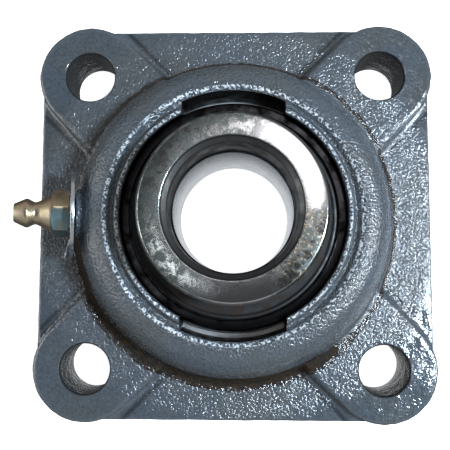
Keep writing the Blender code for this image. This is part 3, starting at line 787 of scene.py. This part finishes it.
def casting_blank(housing):
    """Rough casting before machining: plate, arms, hub and grease boss fused, with all edges softened."""
    below = -3 * MM
    shells = [flange_plate(housing, below), hub_shell(HOUSING_HIGH.z + 0.3 * MM, below)]
    shells += [placed(flange_arm(housing, below), turn_z(radians(45 + 90 * i))) for i in range(4)]
    shells.append(placed(drum(5.6 * MM, -9 * MM, 0.25 * MM, 64), fitting_place()))
    waves = bpy.data.textures.new("sand_waves", "CLOUDS")
    waves.noise_scale = 3.2 * MM
    waves.noise_depth = 2
    blank = in_scene("work", joined(shells))
    modify(blank, "REMESH", mode="VOXEL", voxel_size=housing.grain)
    modify(blank, "SMOOTH", factor=0.5, iterations=housing.softening)
    modify(blank, "DISPLACE", texture=waves, texture_coords="LOCAL", strength=0.22 * MM, mid_level=0.5)
    modify(blank, "DECIMATE", ratio=0.3)
    return baked(blank)


def casting_finish(face, housing):
    """Which of the casting's finishes a face takes: 0 paint, 1 bare iron, 2 dark oil with painted shade, 3
    rust with painted shade.
    """
    spread, height = face.center.to_2d().length, face.center.z
    if height < 0.02 * MM and face.normal.z < -0.9:
        return 1
    in_slot = abs(face.center.x) < housing.slot_width / 2 + 0.1 * MM and height > SEAT_Z
    reach = housing.seat_radius if height < SEAT_Z + 9 * MM else housing.mouth_radius
    reach = housing.slot_radius if in_slot else reach
    if spread < reach + 0.05 * MM and height < HOUSING_HIGH.z - 0.8 * MM:
        return 2 if height > SEAT_Z and face.normal.z < 0.5 else 1
    # painted shade: the hub's foot towards the lower left, where the shade falls, takes the rust and shade
    # finish
    to_lower_left = -0.7 * face.center.x - 1.3 * face.center.y
    in_foot = 10 * MM < height < 14.5 * MM and 37.4 * MM < spread < 39.4 * MM
    return 3 if in_foot and to_lower_left > 22 * MM else 0


class BEARING_OT_housing(bpy.types.Operator):
    """Cast square-flange housing with its bolt holes, mouth, loading slots and grease boss"""

    bl_idname = "bearing.housing"
    bl_label = "Cast housing"

    def execute(self, context):
        housing = settings().housing
        fitting = fitting_place()
        shank = settings().fitting.shank_radius + settings().insert.clearance
        tools = [mouth_tool(housing), slot_tool(housing)]
        tools += [bolt_tool(housing, place) for place in bolt_places(housing)]
        fitting_hole = drum(shank, -6.5 * MM, MM, 64)
        grease_way = drum(1.6 * MM, -18 * MM, -6 * MM, 32)
        boss_face = drum(7 * MM, 0, 3 * MM, 64)
        tools += [placed(tool, fitting) for tool in (fitting_hole, grease_way, boss_face)]
        tools.append(block((-0.1, -0.1, -0.02), (0.1, 0.1, 0)))
        mesh = combined(casting_blank(housing), tools)
        # the mouth and slot faces take near-black oiled metal as painted shade
        looks = [cast_paint(), machined_iron(), oil_and_shade_steel("mouth_iron_and_shade", 0.5), foot_rust_and_shade()]
        made = piece("cast_housing", mesh, looks, "housing_body", ["housing"], radians(40))
        for face in made.data.polygons:
            face.material_index = casting_finish(face, housing)
        return {"FINISHED"}


# ---------------------------------------------------------------- ball insert


class BEARING_OT_rings(bpy.types.Operator):
    """Outer ring with spherical outside, and inner ring with its off-centre stub"""

    bl_idname = "bearing.rings"
    bl_label = "Bearing rings"

    def execute(self, context):
        insert = settings().insert
        steel = turned_steel("ring_steel", settings().finish.ring_steel, 0.16, 0.12)
        # the outer ring's face takes near-black oiled metal as painted shade
        oiled_and_shaded = oil_and_shade_steel("oil_and_shade_steel", 0.2)
        piece("outer_ring_ground", self.outer(insert), oiled_and_shaded, "outer_race", ["outer_ring"])
        piece("inner_ring_ground", self.inner(insert), steel, "inner_race", ["inner_ring"])
        return {"FINISHED"}

    def outer(self, insert):
        half, radius = RING_HALF, insert.ring_radius
        step = half - 1.6 * MM
        track = BALL_RADIUS + TRACK_ROOM
        track_edge = acos((insert.land_radius - insert.pitch_radius) / track)
        edge = asin(half / radius)
        groove = [asin(z * MM / radius) for z in (-1.3, -4.7)]
        corners = [
            *arc(0, 0, radius, edge * 0.985, groove[0], 16),
            (radius - 0.8 * MM, -1.5 * MM, 0.15 * MM), (radius - 0.8 * MM, -4.4 * MM, 0.15 * MM),
            *arc(0, 0, radius, groove[1], -edge * 0.985, 8),
            (radius * cos(edge) - 0.2 * MM, -half, 0.1 * MM), (insert.seal_step, -half, 0.2 * MM),
            (insert.seal_step, -step, 0), (insert.land_radius, -step, 0.15 * MM),
            *arc(insert.pitch_radius, 0, track, -track_edge, track_edge, 20),
            (insert.land_radius, step, 0.15 * MM), (insert.seal_step, step, 0),
            (insert.seal_step, half, 0.2 * MM), (radius * cos(edge) - 0.2 * MM, half, 0.1 * MM),
        ]
        grease_ports = [
            placed(drum(0.8 * MM, 20 * MM, 27 * MM, 24), radial(radians(angle), -4 * MM))
            for angle in (90, 270)
        ]
        return at_seat(combined(lathed(corners, 192, closed=True), grease_ports))

    def inner(self, insert):
        low, high = INNER_LOW.z - SEAT_Z, INNER_HIGH.z - SEAT_Z
        shoulder_top = COLLAR_LOW.z - insert.clearance - SEAT_Z
        shoulder = insert.shoulder_radius
        track = BALL_RADIUS + TRACK_ROOM
        track_edge = acos((insert.pitch_radius - shoulder) / track)
        body = lathed([
            (0, shoulder_top, 0), (shoulder, shoulder_top, 0.4 * MM), (shoulder, 3.4 * MM, 0),
            *arc(insert.pitch_radius, 0, track, pi - track_edge, pi + track_edge, 20),
            (shoulder, -3.4 * MM, 0), (shoulder, low, 0.5 * MM), (0, low, 0),
        ], 192)
        stub_foot = shoulder_top - 2 * MM
        stub = lathed([
            (0, high, 0), (insert.cam_radius, high, 0.5 * MM), (insert.cam_radius, stub_foot, 0),
            (0, stub_foot, 0),
        ], 192)
        stub = placed(stub, Matrix.Translation((insert.cam_offset, 0, 0)))
        bore = insert.shaft_radius
        flare = 0.5 * MM
        shaft = lathed([
            (0, high + 2 * MM, 0), (bore + flare + 2 * MM, high + 2 * MM, 0), (bore, high - flare, 0.3 * MM),
            (bore, low + flare, 0.3 * MM), (bore + flare + 2 * MM, low - 2 * MM, 0), (0, low - 2 * MM, 0),
        ], 192)
        return at_seat(combined(combined(body, [stub], "UNION"), [shaft]))


def seal_mesh(insert, side):
    """Moulded seal with two raised rings on its face and a thin lip, facing up or down."""
    far, near, low_face = RING_HALF - 0.4 * MM, RING_HALF - 1.3 * MM, RING_HALF - 0.4 * MM - 0.35 * MM
    outer = insert.seal_step - insert.clearance
    inner = insert.shoulder_radius + insert.clearance + 0.05 * MM
    corners = [
        (outer, far - 0.1 * MM, 0.2 * MM), (outer, near, 0.2 * MM), (inner + 0.9 * MM, near, 0.2 * MM),
        (inner, near - 0.4 * MM, 0.1 * MM), (inner, far - 0.45 * MM, 0.15 * MM),
        (inner + 0.5 * MM, far - 0.2 * MM, 0.2 * MM), (inner + 1.1 * MM, low_face, 0.2 * MM),
        (inner + 1.5 * MM, far, 0.2 * MM), (inner + 2.0 * MM, far, 0.2 * MM),
        (inner + 2.4 * MM, low_face, 0.2 * MM), (outer - 1.0 * MM, low_face, 0.2 * MM),
        (outer - 0.6 * MM, far, 0.2 * MM),
    ]
    mesh = lathed(corners, 160, closed=True)
    if side < 0:
        mesh = placed(mesh, Matrix.Rotation(pi, 4, "X"))
    return at_seat(mesh)


class BEARING_OT_seals(bpy.types.Operator):
    """Front and rear rubber seals"""

    bl_idname = "bearing.seals"
    bl_label = "Seals"

    def execute(self, context):
        look = seal_rubber()
        for name, side in (("front_seal", 1), ("rear_seal", -1)):
            mesh = seal_mesh(settings().insert, side)
            piece(f"{name}_rubber", mesh, look, "outer_race", [name])
        return {"FINISHED"}


def geometry_tree(name, inputs):
    """Empty Geometry Nodes tree with named inputs and one geometry output, and its group input node."""
    group = bpy.data.node_groups.new(name, "GeometryNodeTree")
    group.interface.new_socket("Geometry", in_out="OUTPUT", socket_type="NodeSocketGeometry")
    for label, kind in inputs:
        group.interface.new_socket(label, in_out="INPUT", socket_type=f"NodeSocket{kind}")
    tree = Tree(group)
    return group, tree, tree.add("NodeGroupInput").outputs


def end_tree(tree, geometry, look):
    """Realize the instances, set their material and hand the result out."""
    real = tree.add("GeometryNodeRealizeInstances", Geometry=geometry)
    painted = tree.add("GeometryNodeSetMaterial", Geometry=real.outputs[0], Material=look)
    tree.add("NodeGroupOutput", Geometry=painted.outputs[0])


def grown(group, values):
    """Plain mesh made by a Geometry Nodes tree, its inputs set by their labels."""
    host = in_scene("work", bpy.data.meshes.new("work"))
    modifier = modify(host, "NODES", node_group=group)
    for item in group.interface.items_tree:
        if item.item_type == "SOCKET" and item.in_out == "INPUT":
            modifier[item.identifier] = values[item.name]
    return baked(host)


def ball_tree():
    """One polished ball at a given centre."""
    inputs = [("Radius", "Float"), ("Centre", "Vector"), ("Finish", "Material")]
    group, tree, given = geometry_tree("bearing_ball", inputs)
    ball = tree.add("GeometryNodeMeshIcoSphere", Subdivisions=5, Radius=given["Radius"])
    moved = tree.add("GeometryNodeTransform", Geometry=ball.outputs["Mesh"], Translation=given["Centre"])
    end_tree(tree, moved.outputs[0], given["Finish"])
    return group


class BEARING_OT_balls(bpy.types.Operator):
    """The nine balls between the rings"""

    bl_idname = "bearing.balls"
    bl_label = "Balls"

    def execute(self, context):
        look = ball_steel()
        group = ball_tree()
        for index in range(1, BALL_COUNT + 1):
            low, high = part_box(f"ball_{index}")
            mesh = grown(group, {"Radius": (high.z - low.z) / 2, "Centre": (low + high) / 2, "Finish": look})
            body = node = f"ball_{index}"
            piece(f"polished_{node}", mesh, look, body, [node], pi)
        return {"FINISHED"}


def cage_half_mesh(insert, side):
    """Stamped ribbon: flat between the balls and bulged over each, as one closed strip around the axis."""
    flat, thick = 0.15 * MM, 0.7 * MM
    inner, outer = 17.75 * MM, 21.2 * MM
    pocket = BALL_RADIUS + 0.35 * MM
    pitch, step_angle = insert.pitch_radius, 2 * pi / BALL_COUNT
    around, across = 720, 8
    phase = angle_of(BALL_MIDDLE)

    def height(radius, angle, swell):
        nearest = round((angle - phase) / step_angle) * step_angle + phase
        offset = radius * radius + pitch**2 - 2 * radius * pitch * cos(angle - nearest)
        reach = (pocket + swell) ** 2 - offset
        return max(flat + swell, sqrt(reach) if reach > 0 else 0)

    bm = bmesh.new()
    rows = []
    radii = [inner + (outer - inner) * i / across for i in range(across + 1)]
    for step in range(around):
        angle = 2 * pi * step / around
        loop = [(r, height(r, angle, thick)) for r in radii]
        loop += [(r, height(r, angle, 0)) for r in reversed(radii)]
        rows.append([bm.verts.new((r * cos(angle), r * sin(angle), side * z)) for r, z in loop])
    for row, following in zip(rows, rows[1:] + rows[:1]):
        for i in range(len(row)):
            j = (i + 1) % len(row)
            bm.faces.new((row[i], row[j], following[j], following[i]))
    bmesh.ops.recalc_face_normals(bm, faces=bm.faces)
    return at_seat(to_mesh(bm))


def rivet_tree():
    """A ring of rivets, each a shank with a low domed head at both ends."""
    group, tree, given = geometry_tree("cage_rivets", [
        ("Count", "Int"), ("Ring radius", "Float"), ("First angle", "Float"), ("Height", "Float"),
        ("Shank radius", "Float"), ("Head radius", "Float"), ("Head place", "Float"), ("Finish", "Material"),
    ])
    length = tree.math("MULTIPLY", given["Head place"], 2.0)
    shank = tree.add("GeometryNodeMeshCylinder", Vertices=24, Radius=given["Shank radius"], Depth=length)
    heads = []
    for side in (1, -1):
        dome = tree.add("GeometryNodeMeshUVSphere", Segments=24, Rings=12, Radius=given["Head radius"])
        lift = tree.add("ShaderNodeCombineXYZ", Z=tree.math("MULTIPLY", given["Head place"], side))
        flat = tree.add("GeometryNodeTransform", Geometry=dome.outputs["Mesh"], Translation=lift.outputs[0],
                        Scale=(1, 1, 0.42))
        heads.append(flat.outputs[0])
    rivet = tree.add("GeometryNodeMeshBoolean", {"operation": "UNION", "solver": "EXACT"})
    for part in (shank.outputs["Mesh"], *heads):
        tree.tree.links.new(part, rivet.inputs["Mesh 2"])
    ring = tree.add("GeometryNodeMeshCircle", Vertices=given["Count"], Radius=given["Ring radius"])
    spin = tree.add("ShaderNodeCombineXYZ", Z=given["First angle"])
    rise = tree.add("ShaderNodeCombineXYZ", Z=given["Height"])
    ring = tree.add("GeometryNodeTransform", Geometry=ring.outputs[0], Translation=rise.outputs[0],
                    Rotation=spin.outputs[0])
    set_out = tree.add("GeometryNodeInstanceOnPoints", Points=ring.outputs[0], Instance=rivet.outputs[0])
    end_tree(tree, set_out.outputs[0], given["Finish"])
    return group


class BEARING_OT_cage(bpy.types.Operator):
    """Two-piece riveted ball cage"""

    bl_idname = "bearing.cage"
    bl_label = "Ball cage"

    def execute(self, context):
        look = turned_steel("cage_steel", (0.5, 0.49, 0.46), 0.3)
        insert = settings().insert
        for name, side in (("cage_front_half", 1), ("cage_rear_half", -1)):
            mesh = cage_half_mesh(insert, side)
            piece(f"{name}_strip", mesh, look, "cage", [name], radians(50))
        values = {
            "Count": BALL_COUNT, "Ring radius": insert.pitch_radius, "Height": SEAT_Z, "Finish": look,
            "First angle": angle_of(BALL_MIDDLE) + pi / BALL_COUNT, "Shank radius": 0.65 * MM,
            "Head radius": 1.25 * MM, "Head place": 1.05 * MM,
        }
        rivets = [f"cage_rivet_{index}" for index in range(1, BALL_COUNT + 1)]
        piece("cage_rivets", grown(rivet_tree(), values), look, "cage", rivets)
        return {"FINISHED"}


# ---------------------------------------------------------------- locking collar


class BEARING_OT_collar(bpy.types.Operator):
    """Eccentric locking collar and its set screw"""

    bl_idname = "bearing.collar"
    bl_label = "Locking collar"

    def execute(self, context):
        collar, insert = settings().collar, settings().insert
        # painted shade: the collar's bore takes a near-black steel
        looks = [collar_steel(), turned_steel("collar_bore_shade_steel", (0.1, 0.1, 0.1), 0.4)]
        made = piece("locking_collar_turned", self.ring(collar, insert), looks, "collar", ["locking_collar"])
        for face in made.data.polygons:
            in_bore = face.center.to_2d().length < collar.face_inner - 0.05 * MM
            face.material_index = 1 if in_bore else 0
        screw = self.screw(collar)
        piece("set_screw_black", screw, black_oxide(), "set_screw", ["collar_set_screw"])
        return {"FINISHED"}

    def ring(self, collar, insert):
        low, high, outer = COLLAR_LOW.z, COLLAR_HIGH.z, COLLAR_HIGH.x
        slope = collar.face_inner - collar.bore_radius
        mesh = lathed([
            (outer - 0.6 * MM, high, 0.15 * MM), (outer, high - 0.6 * MM, 0.25 * MM), (outer, low, 0.4 * MM),
            (collar.bore_radius, low, 0.1 * MM), (collar.bore_radius, high - slope, 0.15 * MM),
            (collar.face_inner - 0.35 * MM, high - 0.5 * MM, 0.1 * MM), (collar.face_inner, high, 0.12 * MM),
        ], 224, closed=True)
        recess = drum(insert.cam_radius + insert.clearance, low - MM, low + collar.recess_depth, 192)
        across = radial(angle_of(joint_axis("set_screw_travel")), collar.screw_height)
        screw_hole = placed(drum(collar.screw_radius + insert.clearance, 10 * MM, 22 * MM, 48), across)
        pin_hole = drum(2.5 * MM, outer - 3.5 * MM, 22 * MM, 48)
        pin_hole = placed(pin_hole, radial(radians(30), collar.screw_height))
        recess = placed(recess, Matrix.Translation((insert.cam_offset, 0, 0)))
        return combined(mesh, [recess, screw_hole, pin_hole])

    def screw(self, collar):
        radius, outer = collar.screw_radius, COLLAR_HIGH.x - 0.3 * MM
        inner = outer - 5.2 * MM
        pitch, depth = 0.8 * MM, 0.3 * MM
        corners = [
            (0, outer, 0), (radius - 0.45 * MM, outer, 0.1 * MM), (radius, outer - 0.4 * MM, 0.05 * MM),
        ]
        for turn in range(5):
            top = outer - 0.5 * MM - turn * pitch
            corners += [(radius - depth, top - pitch / 2, 0.05 * MM), (radius, top - pitch, 0.05 * MM)]
        corners += [
            (radius - 0.7 * MM, inner, 0.1 * MM), (1.1 * MM, inner, 0.1 * MM), (0, inner + 0.6 * MM, 0),
        ]
        body = turned(rounded(corners, steps=2), 72)
        socket = drum(1.6 * MM, outer - 2.4 * MM, outer + MM, 6)
        across = radial(angle_of(joint_axis("set_screw_travel")), collar.screw_height)
        return placed(combined(body, [socket]), across)


# ---------------------------------------------------------------- grease fitting


class BEARING_OT_fitting(bpy.types.Operator):
    """Grease fitting with its check ball, spring and washer"""

    bl_idname = "bearing.fitting"
    bl_label = "Grease fitting"

    def execute(self, context):
        fitting = settings().fitting
        place = fitting_place()
        body = placed(self.body(fitting), place)
        piece("grease_fitting_plated", body, plated_steel(), "housing_body", ["grease_fitting_body"],
              radians(28))
        washer = placed(self.washer(fitting, settings().insert.clearance), place)
        piece("fitting_washer_zinc", washer, bright_zinc(), "housing_body", ["fitting_washer"])
        look = bpy.data.materials.get("ball_steel") or ball_steel()
        ball = grown(ball_tree(), {"Radius": fitting.check_radius, "Centre": CHECK_MIDDLE, "Finish": look})
        piece("check_ball_polished", ball, look, "check_ball", ["grease_fitting_ball"], pi)
        self.spring(place)
        return {"FINISHED"}

    def spring(self, place):
        """Spring under the check ball."""
        wire = turned_steel("spring_wire", (0.45, 0.45, 0.47), 0.25)
        values = {
            "Turns": 5.0, "Coil radius": 0.8 * MM, "Wire radius": 0.14 * MM, "Start": 6.64 * MM,
            "Length": 3.15 * MM, "Finish": wire,
        }
        mesh = placed(grown(spring_tree(), values), place)
        coil = piece("check_spring_wire", mesh, wire, "housing_body", ["grease_fitting_spring"],
                     pi)
        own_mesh(coil)

    def body(self, fitting):
        """Threaded shank, hexagon, neck and head, with the bore that holds the ball and the spring."""
        shank = fitting.shank_radius
        hex_low, hex_high = 1.5 * MM, 5.35 * MM
        hex_top, hex_base = hex_high + 0.3 * MM, hex_low + 0.3 * MM
        end, pitch, depth = -5.6 * MM, 1.0 * MM, 0.4 * MM
        corners = in_mm(
            (0.6, 13.5, 0.1), (2.05, 13.5, 0.25), (3.25, 10.9, 0.25), (3.25, 10.4, 0.25), (2.45, 8.9, 0.5),
            (2.75, 8.0, 0.4),
        )
        corners += [
            (4.15 * MM, hex_top, 0.2 * MM), (4.5 * MM, hex_high - 0.4 * MM, 0), (4.5 * MM, hex_base, 0),
            (shank, hex_base, 0), (shank, 0.3 * MM, 0),
        ]
        for turn in range(5):
            top = -turn * pitch
            corners += [(shank - depth, top - pitch / 2, 0.08 * MM), (shank, top - pitch, 0.08 * MM)]
        corners.append((shank - 0.6 * MM, end, 0.1 * MM))
        corners.append((0.6 * MM, end, 0.1 * MM))
        corners += in_mm((0.6, 6.2, 0), (1.3, 6.2, 0), (1.3, 11.6, 0), (0.6, 12.2, 0))
        core = lathed(corners, 96, closed=True)
        hexagon = combined(self.hexagon(fitting, hex_low, hex_high), [drum(4.0 * MM, 0, 8 * MM, 96)])
        return combined(core, [hexagon], "UNION")

    def hexagon(self, fitting, low, high):
        """Hexagon with broken edges, its corners turned down at both ends."""
        corner = fitting.hex_flats / sqrt(3)
        prism = placed(bevelled(drum(corner, low, high, 6), 0.22 * MM, MM), turn_z(radians(-17.5)))
        dome = lathed([
            (0, high + 0.2 * MM, 0), (corner - 1.1 * MM, high + 0.1 * MM, 0),
            (corner + 0.1 * MM, high - 0.55 * MM, 0), (corner + 0.1 * MM, low + 0.3 * MM, 0),
            (corner - 0.5 * MM, low - 0.1 * MM, 0), (0, low - 0.1 * MM, 0),
        ], 96)
        return combined(prism, [dome], "INTERSECT")

    def washer(self, fitting, clearance):
        """Washer with a short tongue lifted off its face."""
        low, high = clearance, clearance + fitting.washer_thickness
        hole = fitting.shank_radius + clearance
        disc = lathed([
            (fitting.washer_radius, high, 0.2 * MM), (fitting.washer_radius, low, 0.2 * MM),
            (hole, low, 0.1 * MM), (hole, high, 0.1 * MM),
        ], 160, closed=True)
        corner = Vector((1.6 * MM, 2.3 * MM, 0.22 * MM))
        tongue = bevelled(block(-corner, corner), 0.1 * MM)
        tongue = placed(tongue, Matrix.Rotation(radians(-17), 4, "X"))
        tongue = placed(tongue, Matrix.Translation((0, -7.8 * MM, high + 0.55 * MM)))
        return combined(disc, [tongue], "UNION")


def spring_tree():
    """Compression spring about Z from its turns, radii, start and length."""
    labels = ("Turns", "Coil radius", "Wire radius", "Start", "Length")
    inputs = [(label, "Float") for label in labels] + [("Finish", "Material")]
    group, tree, given = geometry_tree("check_spring", inputs)
    radius = given["Coil radius"]
    coil = tree.add("GeometryNodeCurveSpiral", Resolution=36, Rotations=given["Turns"], Start_Radius=radius,
                    End_Radius=radius, Height=given["Length"])
    rise = tree.add("ShaderNodeCombineXYZ", Z=given["Start"])
    coil = tree.add("GeometryNodeTransform", Geometry=coil.outputs[0], Translation=rise.outputs[0])
    wire = tree.add("GeometryNodeCurvePrimitiveCircle", Resolution=10, Radius=given["Wire radius"])
    tube = tree.add("GeometryNodeCurveToMesh", Curve=coil.outputs[0], Profile_Curve=wire.outputs[0],
                    Fill_Caps=True)
    end_tree(tree, tube.outputs[0], given["Finish"])
    return group


# ---------------------------------------------------------------- stage


class BEARING_OT_stage(bpy.types.Operator):
    """Pale floor, soft lights and the camera"""

    bl_idname = "bearing.stage"
    bl_label = "Stage"

    def execute(self, context):
        stage = settings().stage
        self.floor()
        self.camera(stage)
        self.lights(stage)
        context.scene.view_settings.view_transform = "Standard"
        return {"FINISHED"}

    def floor(self):
        """Pale slab just under the mounting face, left out of reflections."""
        half, bottom, top = 1.5, HOUSING_LOW.z - 12 * MM, HOUSING_LOW.z - 0.3 * MM
        mesh = block((-half, -half, bottom), (half, half, top))
        mesh.materials.append(plain_floor())
        made = in_scene("floor", mesh)
        made.visible_glossy = False

    def camera(self, stage):
        lens = bpy.data.cameras.new("camera")
        lens.sensor_width = 36
        lens.lens = stage.focal_length
        lens.clip_start = 0.01
        made = in_scene("camera", lens)
        made.location = (stage.camera_x, stage.camera_y, stage.camera_z)
        made.rotation_euler = stage.camera_turn
        bpy.context.scene.camera = made

    def lights(self, stage):
        for name, place, radius, brightness, tint in (
            ("lamp", (0.30, -0.03, 0.50), 0.04, stage.lamp, (0.70, 0.85, 1.0)),
            ("low_lamp", (0.45, -0.08, 0.30), 0.07, stage.low_lamp * stage.lamp, (0.9, 0.95, 1.0)),
            ("side_card", (-0.55, 0.0, 0.22), 0.25, stage.side_card, (0.95, 0.98, 1.0)),
            ("card_right", (0.062, 0.112, 0.54), 0.070, stage.card, (1.0, 0.95, 0.97)),
            ("card_left", (-0.070, 0.002, 0.54), 0.028, stage.card, (0.95, 0.98, 1.0)),
        ):
            self.soft_light(name, place, radius, brightness, tint)
        self.room(stage)

    def room(self, stage):
        """Even light from all round, dim overhead and dim to mirrors, white where the camera sees it."""
        world = bpy.data.worlds.new("room")
        world.use_nodes = True
        tree = Tree(world.node_tree)
        back = world.node_tree.nodes["Background"]
        way = tree.add("ShaderNodeTexCoord").outputs["Generated"]
        up = tree.add("ShaderNodeSeparateXYZ", Vector=way).outputs[2]
        above = tree.span(up, 0.72, 0.92, stage.side_light, stage.top_light)
        below = tree.span(up, -0.965, -0.985, stage.table_light, 1.0)
        from_above = tree.times(above, tree.span(up, -0.05, 0.1))
        glow = tree.math("ADD", from_above, tree.times(below, tree.span(up, 0.1, -0.05)))
        seen = tree.add("ShaderNodeLightPath").outputs["Is Camera Ray"]
        tree.put(back, "Color", (0.95, 0.98, 1.0, 1.0))
        tree.put(back, "Strength", tree.math("MAXIMUM", glow, seen))
        bpy.context.scene.world = world

    def soft_light(self, name, place, radius, brightness, tint):
        """Round light of a given surface brightness, turned to the bearing."""
        lamp = bpy.data.lights.new(name, "AREA")
        lamp.shape = "DISK"
        lamp.size = 2 * radius
        lamp.energy = brightness * pi * pi * radius**2
        lamp.color = tint
        made = in_scene(name, lamp)
        made.location = place
        aim = Vector((0, 0, 0.02)) - Vector(place)
        made.rotation_euler = aim.to_track_quat("-Z", "Y").to_euler()


# ---------------------------------------------------------------- add-on


OPERATORS = (
    BEARING_OT_housing,
    BEARING_OT_rings,
    BEARING_OT_seals,
    BEARING_OT_balls,
    BEARING_OT_cage,
    BEARING_OT_collar,
    BEARING_OT_fitting,
    BEARING_OT_stage,
)


class BEARING_PT_panel(bpy.types.Panel):
    """Buttons for each piece of the bearing unit"""

    bl_idname = "BEARING_PT_panel"
    bl_label = "Flange Bearing"
    bl_space_type = "VIEW_3D"
    bl_region_type = "UI"
    bl_category = "Flange Bearing"

    def draw(self, context):
        for operator in OPERATORS:
            self.layout.operator(operator.bl_idname)
        for group in ("housing", "insert", "collar", "fitting", "finish", "stage"):
            box = self.layout.box()
            box.label(text=group.title())
            values = getattr(context.scene.flange_bearing, group)
            for name in type(values).__annotations__:
                box.prop(values, name)


CLASSES = (
    HousingSettings,
    InsertSettings,
    CollarSettings,
    FittingSettings,
    FinishSettings,
    StageSettings,
    BearingSettings,
    *OPERATORS,
    BEARING_PT_panel,
)


def register():
    for item in CLASSES:
        bpy.utils.register_class(item)
    bpy.types.Scene.flange_bearing = PointerProperty(type=BearingSettings)


def unregister():
    del bpy.types.Scene.flange_bearing
    for item in reversed(CLASSES):
        bpy.utils.unregister_class(item)


def main():
    register()
    for operator in OPERATORS:
        family, name = operator.bl_idname.split(".")
        getattr(getattr(bpy.ops, family), name)()


if __name__ == "__main__":
    main()
